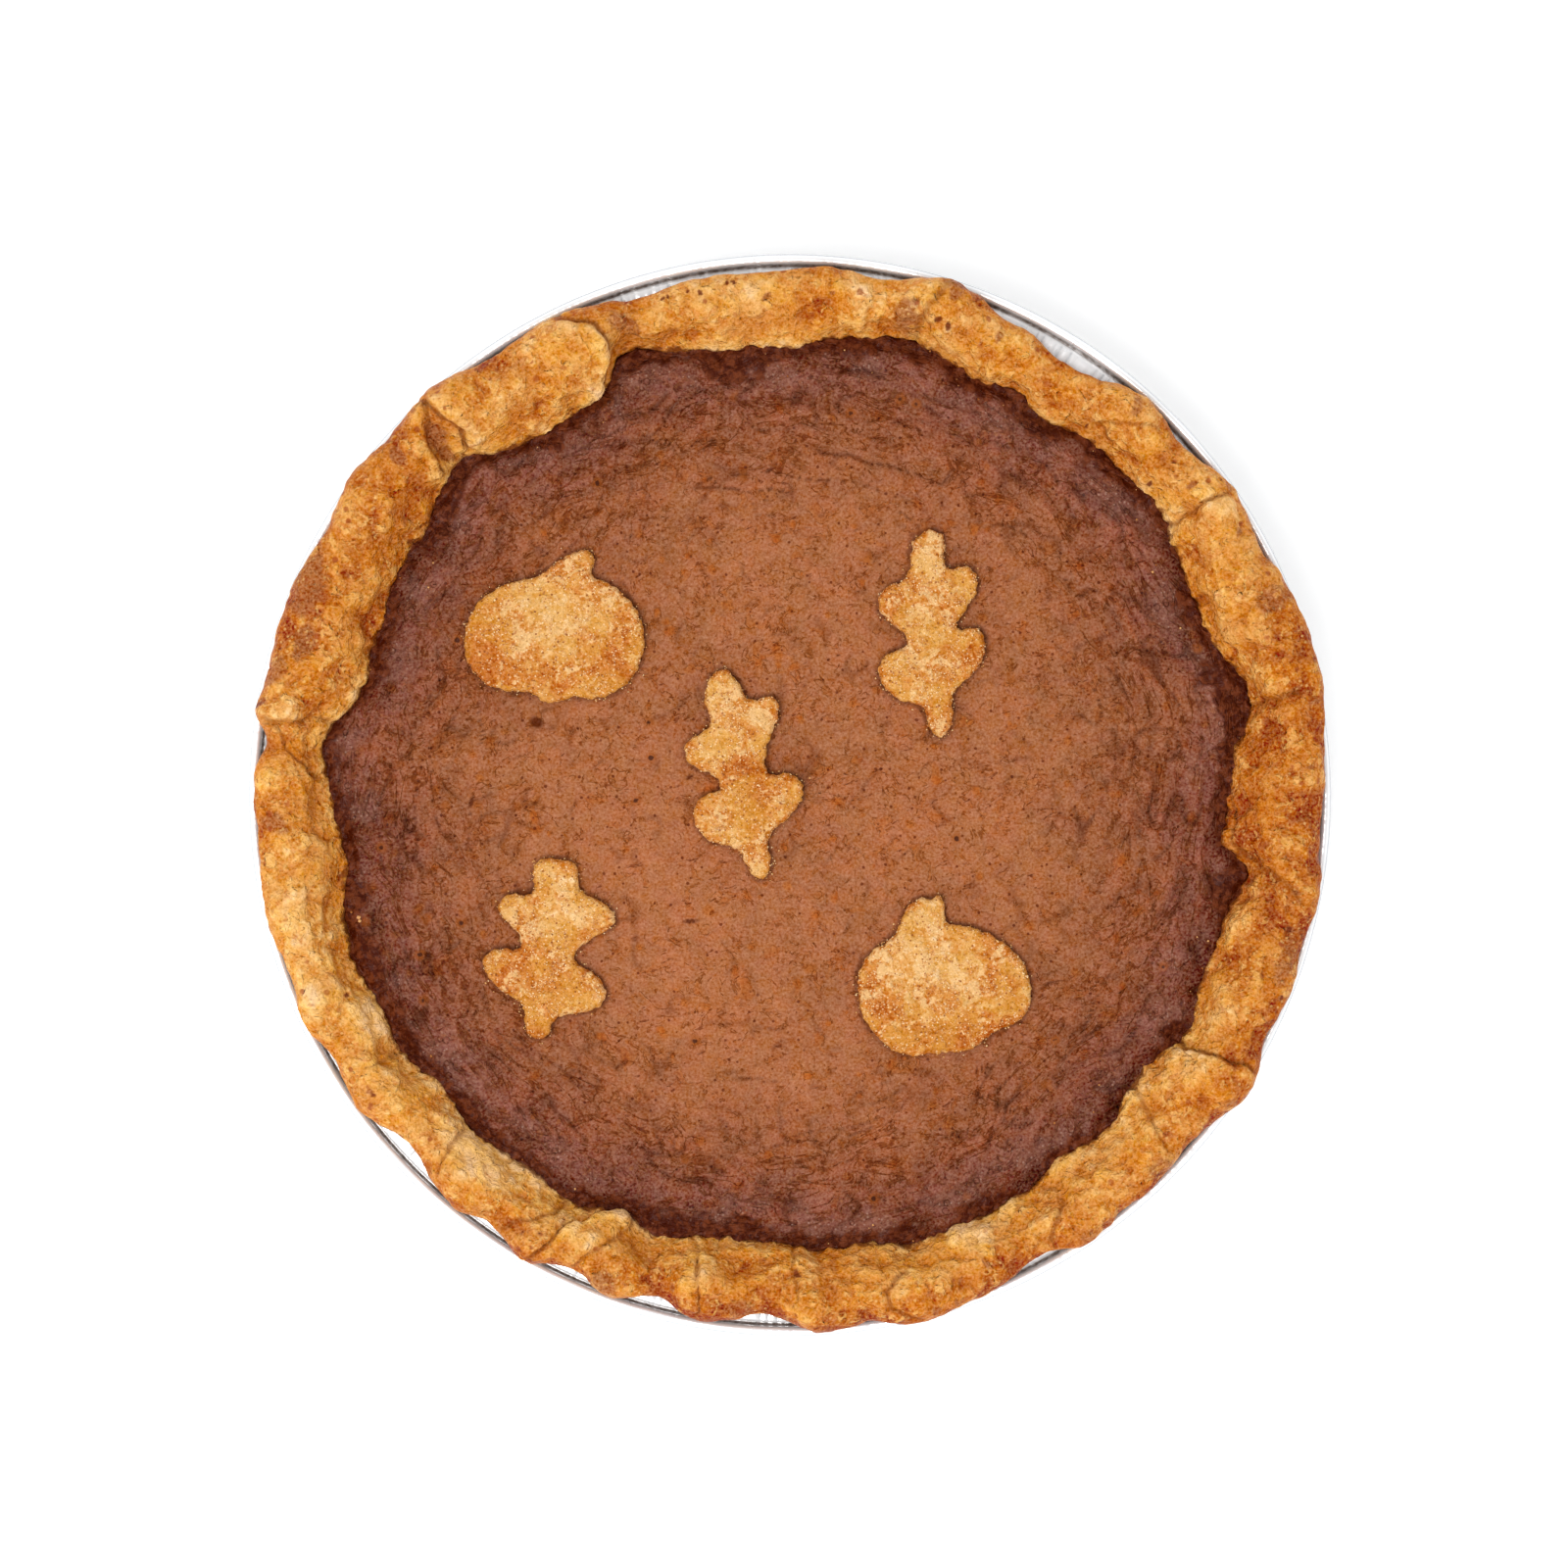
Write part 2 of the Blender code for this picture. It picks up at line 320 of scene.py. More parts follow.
def blendColour(share, first, second, mode="MIX"):
    # share times the second plus the rest of the first, or another way of blending.
    settings = (("data_type", "RGBA"), ("blend_type", mode))
    return addNode("Mix", settings, _0=share, _6=first, _7=second).outputs[2]


def paint(colour, share):
    # Lays a colour over what is there: share times the one plus the rest of the other.
    making["colour"] = blendColour(share, making["colour"], colour)


def glaze(colour, share=1):
    # Multiplies what is there by a colour, as far as the share goes.
    making["colour"] = blendColour(share, making["colour"], colour, "MULTIPLY")


def glintAndShadeSpeckle(texture, amount):
    # Painted glints and tiny shadows: adds amount times the noise, less its half, so light specks turn pale
    # like glints and dark ones grey like shadows.
    making["colour"] = blendColour(0.5, making["colour"], amount, "SUBTRACT")
    making["colour"] = blendColour(texture, making["colour"], amount, "ADD")


def colourRamp(value, stops):
    # Colours between stops of (position, colour).
    node = addNode("ValToRGB", Fac=value)
    elements = node.color_ramp.elements
    for extra in stops[2:]:
        elements.new(extra[0])
    for element, (position, colour) in zip(elements, stops):
        element.position = position
        element.color = (*colour, 1)
    return node.outputs["Color"]


def hairLines(cell, width, mask, detail=2, warp=0.5, place=None):
    # 1 along thin squiggles where noise passes through its middle, where the mask allows.
    return times(near(noise(cell, detail, 0.55, warp, place), 0.5, width), mask)


def someCells(cell, low, high):
    # 1 in the cells whose random number is above high, and 0 where it is below low.
    return spread(cells(cell, "Color"), low, high)


def addRelief(*layers):
    # Bump layers of (height, strength, depth in mm), each on top of the last.
    below = None
    for height, strength, depth in layers:
        node = addNode("Bump", Strength=strength, Distance=depth * mm, Height=height)
        if below is not None:
            feed(below, node.inputs["Normal"])
        below = node.outputs["Normal"]
    wire(below, "Normal")


# What the solids say

def readPoints(name):
    # The solid's points as rows of x, y and z.
    mesh = cadNodes[name].data
    points = np.empty(len(mesh.vertices) * 3, dtype=np.float32)
    mesh.vertices.foreach_get("co", points)
    return points.reshape(-1, 3).astype(float)


def readRim():
    # For each column of the crust solid: its largest radius, the radius of its inner edge,
    # which is the smallest one above the shell's wall, and its greatest height.
    points = readPoints("crust")
    radius = np.hypot(points[:, 0], points[:, 1])
    degrees = np.degrees(np.arctan2(points[:, 1], points[:, 0])) % 360
    count = len(np.unique(np.round(degrees[radius > 110 * mm], 1) % 360))
    column = np.round(degrees / 360 * count).astype(int) % count
    reach = np.zeros(count)
    np.maximum.at(reach, column, radius)
    upper = points[:, 2] > 0.6 * points[:, 2].max()
    inner = np.ones(count)
    np.minimum.at(inner, column[upper], radius[upper])
    crest = np.zeros(count)
    np.maximum.at(crest, column, points[:, 2])
    return reach, inner, crest


cutoutNodes = [name for name in cadNodes if "cutout" in name]
rimReach, rimInner, rimCrest = readRim()
rimMiddle = np.mean(rimReach + rimInner) / 2 / mm
rimSpan = 2 * np.pi * rimMiddle   # mm once round the rim
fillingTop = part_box("filling")[1][2]
print("rim read at", len(rimReach), "places")


def outlineOf(name):
    # The edges of the solid's top face that only one triangle there uses.
    mesh = cadNodes[name].data
    points = readPoints(name)
    tris = np.array([tuple(p.vertices) for p in mesh.polygons])
    level = points[:, 2] > points[:, 2].max() - 0.01 * mm
    tris = tris[level[tris].all(axis=1)]
    flat = np.round(points[:, :2] / (0.001 * mm)).astype(np.int64)
    merged = np.unique(flat, axis=0, return_inverse=True)[1].ravel()
    edges = np.concatenate((tris[:, (0, 1)], tris[:, (1, 2)], tris[:, (2, 0)]))
    pairs = np.sort(merged[edges], axis=1)
    _, first, count = np.unique(pairs, axis=0, return_index=True, return_counts=True)
    return points[edges[first[count == 1]]][:, :, :2]


def insideDistance(x, y, edges):
    # Distance to the nearest outline edge, positive inside, where a ray to +X crosses the
    # outline an odd number of times.
    nearest = np.full(x.shape, 1e9)
    crossings = np.zeros(x.shape, dtype=int)
    for (ax, ay), (bx, by) in edges:
        dx, dy = bx - ax, by - ay
        part = np.clip(((x - ax) * dx + (y - ay) * dy) / (dx * dx + dy * dy), 0, 1)
        nearest = np.minimum(nearest, (x - ax - part * dx) ** 2 + (y - ay - part * dy) ** 2)
        spans = (ay > y) != (by > y)
        with np.errstate(divide="ignore", invalid="ignore"):
            crossings += spans & (x < ax + (y - ay) * dx / dy)
    return np.sqrt(nearest) * np.where(crossings % 2 == 1, 1, -1)


# Crust

crust = {
    "columns": 1440,
    "outerShare": 0.38,       # of the rim's width, outside its crest
    "footHeight": 34.2,       # mm, height of the widest place
    "edgeHeight": 28.7,       # mm, height of the inner edge
    "bulge": 1.7,             # mm, how far it bulges down below the widest place
    "fullness": 0.86,         # power of the outer curve, less for a squarer one
    "slopePower": 0.9,        # less for a fuller inner slope
    # radius and height in mm of the pastry shell, up the outside and at the bottom of the inside
    "shell": ((89.9, 0.8), (91.1, 1.3), (112.3, 30), (113.2, 31)),
    "lining": (88.2, 4.4),
    "raggedCircle": 110,      # mm, radius at which the noise for the outlines is read
    "lumps": ((13, 1.5), (6.5, 1.2), (3.2, 0.6), (1.7, 0.22)),   # cell and height in mm
    "puffCell": 4.6,          # mm, blisters between thin furrows
    "puffHeight": 0.9,
    "lobeHeight": 0.35,
    "rollWidth": 2,           # mm, over which a fold's edge rounds up
    "sinkWidth": 7,           # mm, over which it sinks back
    # lightness every 30 degrees, along the outer and the inner half
    "outerTone": (0.23, 0.56, 0.59, 0.67, 0.56, 0.38, 0.56, 0.68, 0.39, 0.22, 0.35, 0.37),
    "innerTone": (0.14, 0.58, 0.43, 0.58, 0.54, 0.38, 0.48, 0.84, 0.81, 0.46, 0.74, 0.56),
    # from dark baked to pale
    "colours": ((0, (0.275, 0.056, 0.007)), (0.15, (0.378, 0.102, 0.0135)), (0.34, (0.488, 0.16, 0.0225)),
                (0.5, (0.562, 0.212, 0.0355)), (0.66, (0.62, 0.275, 0.058)),
                (0.85, (0.696, 0.366, 0.106)), (1, (0.776, 0.462, 0.185))),
}

# Each fold is a line of (degrees, share across the rim from inside), a step in mm that is
# raised on its anticlockwise side, a groove depth in mm and a width in mm.
folds = (
    (((11.9, 0.62), (11.4, 0)), 0.3, 0.7, 1.2),
    (((34.4, 0.78), (35.3, 0.08)), -0.5, 0.8, 0.9),
    (((45.5, 0.88), (50.4, 0.32)), 0.6, 0.3, 1),
    (((73, 0.92), (74.4, 0.1)), -0.4, 0.5, 1.3),
    (((116.3, 1), (115.2, 0.92), (113.6, 0.7), (112.6, 0.48), (112.4, 0.28), (114, 0.09),
      (116.5, -0.04)), 2.4, 0.5, 0.9),
    (((133.1, 0.9), (132, 0.15)), -1.5, 1, 0.8),
    (((133.5, 0.88), (136.9, 0.15)), 1.3, 0.5, 0.8),
    (((171.9, 0.8), (170.6, 0.1)), -0.9, 0.4, 0.9),
    (((172, 0.86), (174.6, 0.62), (177.8, 0.15)), 0.3, 0.6, 0.8),
    (((213.2, 0.6), (213.6, 0.08)), 0.2, 0.5, 0.8),
    (((227, 0.75), (225.7, 0.12)), 0.5, 0.5, 0.8),
    (((236.4, 0.9), (239, 0.4), (241.2, 0.1)), 0.2, 0.7, 0.8),
    (((240.8, 0.96), (242.6, 0.3), (247.8, -0.02)), 1.3, 0.7, 0.7),
    (((245.6, 0.86), (249.2, 0.08)), -0.8, 0.3, 0.9),
    (((259.6, 0.96), (259.6, 0.58)), 0.3, 0.8, 0.5),
    (((259.3, 0.44), (259, 0.33)), 0.2, 0.9, 0.7),
    (((259, 0.28), (258.2, 0.04)), 0.4, 0.3, 0.8),
    (((270.9, 0.62), (270.6, 0.02)), 0.2, 0.6, 0.7),
    (((283.6, 0.9), (281.4, 0.72), (281.3, 0.52), (283.2, 0.38)), 0.4, 0.8, 0.8),
    (((301, 0.78), (303.8, 0.36)), 0.3, 0.7, 1),
    (((317.2, 0.66), (319.2, 0)), -0.5, 0.4, 0.8),
    (((329.3, 0.88), (327.2, -0.02)), -1.8, 0.6, 0.7),
    (((348.6, 0.78), (352, 0.08)), 0.2, 0.6, 1),
    (((352.4, 0.1), (355.6, 0.12), (359.9, 0.06)), 0, 1.5, 0.45),
)

# Marks on the rim: degrees, share across, half length along and across in mm, strength.
# The mark at 134.6 degrees, share 0.32, lies in the trough between the flaps, painted shade there as well as
# baked colour.
brownMarks = (
    (3.4, 0.78, 1, 1.6, 0.5), (5.2, 0.5, 0.8, 0.9, 0.5), (10.2, 0.82, 1.1, 1.5, 0.6),
    (11.8, 0.62, 0.9, 1.4, 0.6), (22, 0.74, 2.8, 4.8, 0.6), (30.4, 0.85, 1.2, 1.8, 0.5),
    (35, 0.94, 2.6, 1.3, 0.4), (38.1, 0.66, 0.8, 1.2, 0.8), (48.4, 0.76, 1.2, 2.4, 0.5),
    (61, 0.84, 0.6, 0.7, 0.6), (65.6, 0.7, 1, 1.4, 0.55), (67.5, 0.45, 0.8, 1, 0.45),
    (71.9, 0.88, 2, 3.1, 1), (75.5, 0.6, 0.9, 0.9, 0.6), (76.4, 0.35, 3.6, 3.8, 0.7),
    (82.6, 0.7, 0.6, 1, 0.8), (85.4, 0.62, 0.6, 0.7, 0.6), (92.5, 0.68, 0.7, 1, 0.8),
    (108.8, 0.7, 0.6, 0.6, 0.7), (109.5, 0.5, 3.4, 4.2, 0.55), (122.5, 0.8, 4, 1.6, 0.3),
    (139.2, 0.72, 1.4, 2.5, 1), (134.6, 0.9, 1, 1, 0.5), (156.5, 0.84, 6, 2.9, 1),
    (162.2, 0.68, 3.4, 2.4, 1.1), (134.6, 0.32, 1.8, 5.6, 0.9), (166.6, 0.94, 1, 0.9, 0.6),
    (170.5, 0.95, 1, 1.1, 0.85),
    (166.5, 0.86, 4.8, 2.8, 0.6), (183.4, 0.75, 2.2, 3.8, 0.6), (215.5, 0.72, 0.7, 0.8, 0.6),
    (233, 0.86, 2.4, 1.6, 0.35), (238.4, 0.74, 0.5, 0.8, 0.7), (249.5, 0.82, 3, 3, 0.6),
    (256.1, 0.77, 0.9, 1.1, 0.7), (264.5, 0.86, 3.8, 2.4, 0.55), (285.4, 0.9, 1.2, 1.6, 0.55),
    (288, 0.85, 0.6, 1, 0.7), (292.8, 0.6, 0.8, 1.4, 0.65), (304.6, 0.9, 2.4, 1.8, 0.4),
    (314.5, 0.84, 3.4, 2.6, 0.55), (325, 0.86, 2.6, 2.2, 0.4), (337.8, 0.9, 0.7, 0.9, 0.8),
    (341.5, 0.86, 7, 2.4, 0.55), (345, 0.8, 0.7, 1.5, 0.85), (349, 0.7, 0.7, 1, 0.75),
    (357.5, 0.78, 1.4, 1.6, 0.45),
)
paleMarks = (
    (26, 0.2, 4, 2, 0.4), (52.6, 0.5, 2.2, 3.2, 0.8), (59, 0.7, 3, 2.6, 0.5),
    (66, 0.15, 4.5, 1.8, 0.5), (124.2, 0.02, 1.6, 2.2, 1), (123.6, 0.34, 2, 1.8, 0.5),
    (117, 0.1, 5, 1.8, 0.5), (146, 0.35, 1.6, 2, 0.5), (163, 0.1, 6, 2, 0.5),
    (203, 0.76, 2.8, 2.6, 0.75), (196, 0.2, 4, 2.6, 0.4), (229, 0.35, 4, 2.6, 0.4),
    (319, 0.1, 3.4, 2, 0.5), (276, 0.35, 5, 3, 0.3),
)

# Dents: degrees, share across, half length along and across and depth in mm. The first
# is the trough between the two large flaps.
rimDents = (
    (134.4, 0.32, 2.6, 6, 2.6), (162.2, 0.68, 3.2, 2.4, 1.2), (12.5, 0.05, 4, 3, 1),
    (74.5, 0.3, 4, 4, 0.8), (109, 0.4, 3, 5, 0.7), (36, 0.3, 1.6, 5, 0.7),
    (173.5, 0.4, 1.8, 5, 0.9), (242, 0.2, 1.5, 4, 0.9),
)

# Small holes: degrees, share across, radius in mm.
rimHoles = (
    (71.2, 0.42, 0.5), (72.4, 0.42, 0.55), (96, 0.83, 0.42), (96.8, 0.83, 0.42),
    (100.1, 0.82, 0.5), (101.4, 0.84, 0.42), (103.9, 0.84, 0.42), (104.6, 0.84, 0.42),
    (271.1, 0.33, 0.6), (345, 0.8, 0.55), (337.9, 0.91, 0.45), (51.4, 0.16, 0.35),
    (41, 0.22, 0.35), (170.6, 0.95, 0.5), (216, 0.71, 0.4), (204.2, 0.3, 0.4),
)


def rimMap(degrees, share):
    # A flat map of the rim in mm: along is arc length from angle 0 at the rim's mean
    # radius, across runs from the inner edge.
    width = (closedCurve(rimReach, degrees / 360) - closedCurve(rimInner, degrees / 360)) / mm
    return np.radians(degrees) * rimMiddle, share * width


def fromSpot(along, across, spot):
    # Offsets on the rim map from one spot of it, the short way round.
    return (along - spot[0] + rimSpan / 2) % rimSpan - rimSpan / 2, across - spot[1]


def foldShape(along, across, line, step, groove, width):
    # Signed distance to a bent line on the rim map. The raised side climbs as a quarter
    # circle and sinks back slowly, and a bell-shaped groove lies at its foot.
    corners = [np.array(rimMap(*corner)) for corner in line]
    nearest = np.full(along.shape, 1e9)
    signed = np.zeros(along.shape)
    for start, end in zip(corners, corners[1:]):
        length = np.hypot(*(end - start))
        runX, runY = (end - start) / length
        x, y = fromSpot(along, across, start)
        beside = y * runX - x * runY
        past = x * runX + y * runY
        distance = np.hypot(beside, np.maximum(np.maximum(-past, past - length), 0))
        signed = np.where(distance < nearest, beside, signed)
        nearest = np.minimum(distance, nearest)
    # lines run inwards, so the anticlockwise side has a positive sign
    side = signed if step >= 0 else -signed
    ends = bell(np.maximum(nearest - np.abs(signed), 0) / 1.2)
    climb = np.sqrt(1 - (1 - np.clip(side / crust["rollWidth"], 0, 1)) ** 2)
    height = abs(step) * climb * np.exp(-np.maximum(side - 2, 0) / crust["sinkWidth"]) * ends
    foot = bell((side + 0.4 * width) / (0.8 * width)) * ends
    lipHighlight = 0.7 * abs(step) * bell((side - 1.5) / 1.4) * ends
    # The foot is also a mask for painted shade, and the lip band a mask for a painted highlight.
    return height - groove * foot, foot * min(1, 0.3 + 0.5 * groove + 0.2 * abs(step)), lipHighlight


def ovals(along, across, marks):
    # For each mark, its last number times a bell with a flattened top on the rim map.
    shapes = []
    for degrees, share, halfAlong, halfAcross, strength in marks:
        x, y = fromSpot(along, across, rimMap(degrees, share))
        shapes.append(strength * np.exp(-((x / halfAlong) ** 2 + (y / halfAcross) ** 2) ** 1.3))
    return shapes


def borderRadius(turn):
    # The crust's inner edge, a little ragged.
    place = onCircle(turn, crust["raggedCircle"] * mm)
    wander = 0.4 * cloudNoise(place, 11 * mm, 6, 4, 0.55) + 0.5 * cloudNoise(place, 2.8 * mm, 9, 3, 0.6)
    return closedCurve(rimInner, turn / (2 * np.pi)) + wander * mm


def crustSection(turn):
    # Rings of radius, height and how much they may move. The outer part is a quarter and a bit
    # of a superellipse from under the edge to the crest, the inner part a cosine slope down
    # to the filling.
    share = turn / (2 * np.pi)
    place = onCircle(turn, crust["raggedCircle"] * mm)
    reach = closedCurve(rimReach, share) + 0.35 * mm * cloudNoise(place, 5 * mm, 5)
    inner = borderRadius(turn)
    crest = closedCurve(rimCrest, share)
    outerWidth = crust["outerShare"] * (reach - inner)
    innerWidth = reach - inner - outerWidth
    foot, edge = crust["footHeight"] * mm, crust["edgeHeight"] * mm
    shell, lining = np.array(crust["shell"]) * mm, np.array(crust["lining"]) * mm
    rings = [(*point, 0) for point in shell]
    # where it lies on the tin's flange
    rings.append((np.minimum(118 * mm, reach - 3.4 * mm), 31.6 * mm, 0.1))
    for phi in np.radians(np.linspace(-62, 90, 27)):
        across, up = abs(math.cos(phi)) ** crust["fullness"], abs(math.sin(phi)) ** crust["fullness"]
        rise = (crest - foot) * up if phi > 0 else -crust["bulge"] * mm * up
        rings.append((reach - outerWidth * (1 - across), foot + rise, 1))
    for part in np.linspace(0, 1, 31)[1:]:
        slope = math.cos(math.pi / 2 * part) ** crust["slopePower"]
        rings.append((reach - outerWidth - innerWidth * part, edge + (crest - edge) * slope, 1))
    # under the custard, which hides them
    rings += [(inner - 0.1 * mm, edge - 1.1 * mm, 0.3), (*lining, 0)]
    radius, height, loose = (np.stack([ring[index] + 0 * turn for ring in rings]) for index in range(3))
    return radius, height, loose, reach, inner


def bakedLumps(flat):
    # Gradient noise in several sizes, and patches of blisters, high in a cell's middle and low at its edge.
    relief = sum(tall * softNoise(flat, cell * mm, 40 + n) for n, (cell, tall) in enumerate(crust["lumps"]))
    bent = flat + 1.1 * mm * vectorNoise(flat, 3.5 * mm, 51)
    puffs = 0.62 - cellNoise(bent, crust["puffCell"] * mm, 54)
    return relief + crust["puffHeight"] * puffs * patches(flat, 12 * mm, 55, -0.25, 0.3)


def lightness(turn, share):
    # The two rows of steps, blended across the rim, paler by the custard and darker outside.
    outer, inner = (closedCurve(crust[row], turn / (2 * np.pi)) for row in ("outerTone", "innerTone"))
    tone = inner + (outer - inner) * smoothStep(0.3, 0.75, share)
    return tone + 0.07 * smoothStep(0.3, 0.05, share) - 0.17 * smoothStep(0.8, 1, share)


def makeCrust():
    # The section goes round the axis, and each point moves along its normal by lumps, folds and dents.
    turn = np.arange(crust["columns"]) * 2 * np.pi / crust["columns"]
    radius, height, loose, reach, inner = crustSection(turn)
    grid = onCircle(turn, radius)
    grid[..., 2] = height
    normal = skinNormals(grid)
    shape = radius.shape
    flat = grid.reshape(-1, 3)
    share = ((radius - inner) / (reach - inner)).clip(-0.1, 1.1)
    along, across = rimMap(np.degrees(turn) + 0 * share, share)
    # folds and marks wander, so that none is drawn with a ruler
    along = along + 1.5 * cloudNoise(flat, 9 * mm, 31).reshape(shape)
    across = across + 1.2 * cloudNoise(flat, 9 * mm, 35).reshape(shape)

    relief = bakedLumps(flat).reshape(shape)
    # the rim stands higher where it bulges out further than the 61 columns round it
    around = np.concatenate((reach[-30:], reach, reach[:30]))
    lobes = (reach - np.convolve(around, np.ones(61) / 61, "valid")) / mm
    lift = relief + crust["lobeHeight"] * lobes * smoothStep(0.1, 0.6, share) * smoothStep(1.05, 0.9, share)
    rises, feet, lips = zip(*(foldShape(along, across, *fold) for fold in folds))
    crease, lipHighlight = np.max(feet, axis=0), np.max(lips, axis=0)
    holes = ovals(along, across, [(*place, 1.3 * size, 1.3 * size, 1) for *place, size in rimHoles])
    lift += sum(rises) - sum(ovals(along, across, rimDents)) - 0.4 * sum(holes)
    # the outlines at the widest place and at the custard are already right, so little moves there
    lift *= (1 - 0.7 * smoothStep(0.8, 1, share)) * (0.45 + 0.55 * smoothStep(-0.02, 0.14, share))
    grid = grid + normal * (lift * loose * mm)[..., None]

    # painted highlight and shade: lips and bumps are painted paler, and creases a little darker
    tone = lightness(turn, share) + 0.26 * lipHighlight.clip(0, 1) + 0.04 * lift.clip(-1, 1) - 0.05 * crease
    brown, pale = (np.max(ovals(along, across, marks), axis=0) for marks in (brownMarks, paleMarks))
    skin = closedSkin(grid, crust["shell"][0][1] * mm, crust["lining"][1] * mm)
    piece = makePiece("pie_crust", *skin, crustMaterial(), "baked_crust", ("crust",))
    addValues(piece, tone=tone.ravel(), brown=brown.ravel(), pale=pale.ravel(), crease=crease.ravel(),
              pit=np.max(holes, axis=0).ravel(), acrossRim=share.ravel(), relief=0.5 + 0.5 * relief.ravel())


def crustMaterial():
    # Baked pastry: lightness, with painted highlight and shade on its relief, picks a colour, then stains,
    # flakes, freckles, crumbs and painted glints lie over it.
    material = startMaterial("crustPastry", 0.5, specular=0.05)
    tone, brown, pale, crease, pit, across, relief = (
        readValues(name) for name in ("tone", "brown", "pale", "crease", "pit", "acrossRim", "relief"))
    broad = noise(12, 2, 0.55, 0.3)
    mottle = noise(4.3, 3, 0.58, 0.8)
    fleck = noise(2, 2, 0.6, 0.6)
    grain = noise(0.8, 1, 0.6)
    powder = noise(0.5, 1, 0.6)
    lively = spread(noise(8, 1), 0.35, 0.62, 0.5, 1.3)
    blister = cells(2.7, place=bentPlace(3.5, 3))
    # painted shade and highlight: darker in the furrows between blisters and in the hollows of the lumps,
    # paler on their tops
    blisterShade = times(spread(blister, 0.05, 0.75, 0.17, -0.13), lively)
    value = total(tone, wobble(broad, 0.55), wobble(mottle, 0.5), times(wobble(fleck, 0.5), lively),
                  blisterShade, wobble(relief, 0.42), times(pale, 0.3))
    making["colour"] = colourRamp(value, crust["colours"])
    # butter-yellow and orange areas
    warm = spread(noise(6.4, 3, 0.6, 0.6), 0.34, 0.66)
    glaze(blendColour(warm, (0.99, 1.04, 1.3), (1, 0.94, 0.66)))
    # orange stains, and pale flakes that gather a little on the bumps as a painted highlight
    ragged = wobble(fleck, 0.25)
    stain = total(noise(4.2, 2, 0.6, 1.3), ragged, times(tone, -0.12))
    paint((0.43, 0.118, 0.01), spread(stain, 0.49, 0.6, 0, 0.6))
    flake = total(noise(2.5, 2, 0.6, 0.9), ragged, wobble(relief, 0.12))
    flake = times(spread(flake, 0.56, 0.67, 0, 0.5), lively)
    paint((0.72, 0.385, 0.112), flake)
    # baked patches keep their own soft, darker colour
    patch = total(brown, wobble(mottle, 0.35), wobble(fleck, 0.4))
    patch = times(spread(patch, 0.12, 0.5, 0, 0.8), spread(fleck, 0.58, 0.7, 1, 0.45))
    paint((0.29, 0.088, 0.027), patch)
    # painted glints and tiny shadows on the grain and powder
    glintAndShadeSpeckle(grain, (0.36, 0.25, 0.14))
    glintAndShadeSpeckle(powder, (0.3, 0.205, 0.11))
    # red-brown freckles, most of them on the outer half, and pale crumbs that are also painted glints
    freckle = spread(total(cells(3.6), wobble(fleck, 0.3)), 0.25, 0.12)
    freckle = times(freckle, someCells(3.6, 0.54, 0.58))
    freckle = times(freckle, spread(across, 0.2, 0.7, 0.15, 0.75))
    paint((0.27, 0.046, 0.009), freckle)
    crumbAndGlint = spread(total(cells(1.6), wobble(grain, 0.2)), 0.26, 0.14)
    crumbAndGlint = times(crumbAndGlint, spread(lively, 0.7, 1.2, 0.05, 0.4))
    paint((0.78, 0.5, 0.19), crumbAndGlint)
    # painted shade in the creases
    paint((0.19, 0.042, 0.004), spread(crease, 0.1, 0.9, 0, 0.7))
    # custard has climbed the foot of the inner slope here and there
    climbed = total(across, wobble(mottle, 0.16), wobble(fleck, 0.11))
    paint((0.13, 0.024, 0.003), spread(climbed, 0.05, 0.005, 0, 0.85))
    # painted shade in the small holes
    paint((0.145, 0.022, 0.005), spread(pit, 0.12, 0.7, 0, 0.9))
    wire(making["colour"], "Base Color")
    wire(spread(mottle, 0.3, 0.7, 0.36, 0.58), "Roughness")
    addRelief((mottle, 0.9, 2), (blister, 0.5, -0.9), (flake, 0.5, 0.4), (fleck, 0.8, 0.8),
              (grain, 0.8, 0.35))
    return material


makeCrust()


# Filling

filling = {
    "side": 308,              # grid cells along each side before it is bent to a disc
    "overlap": 0.7,           # mm, how far the custard runs on under the crust's inner slope
    "edgeDrop": 0.7,          # mm, over the last few mm before the crust
    "wallFoot": 27,           # mm, height at which its wall starts, and radius and height of its floor
    "floor": (87.6, 4.8),
    "band": (6.6, 0.4),       # mm from the crust, where the dark band begins and where it is full
    "bandWander": 4.5,
    "narrowest": (332, 26, 4),   # degrees, half width and by how many mm it is narrower there
    "burntBays": ((13.4, 3.4), (348.6, 2.4), (328.4, 1.8), (99, 2)),   # degrees and half width
    "bayReach": 7,            # mm, how much wider it is at them
    "swells": ((46, 0.35, 80), (15, 0.22, 81)),   # cell and height in mm, and noise seed
    "lumps": (6, 0.26),       # mm, cell and height
    "rolls": (5, 0.85),       # the same, near the crust
    "wrinkleDepths": (0.6, 0.25, 0.5),   # mm, of those round the pie, short ones and longer ones
    "blobs": 260,
    "blobSize": (0.6, 1.6),   # mm
    "blobReach": 99,          # mm from the middle
    "moat": 0.06,             # mm, depth of the dip round each cut-out
    # from the crust to the middle
    "colours": ((0, (0.104, 0.0245, 0.011)), (0.06, (0.146, 0.0435, 0.023)), (0.18, (0.198, 0.063, 0.0355)),
                (0.36, (0.235, 0.074, 0.031)), (0.6, (0.284, 0.095, 0.038)), (0.85, (0.305, 0.104, 0.039)),
                (1, (0.316, 0.108, 0.041))),
}


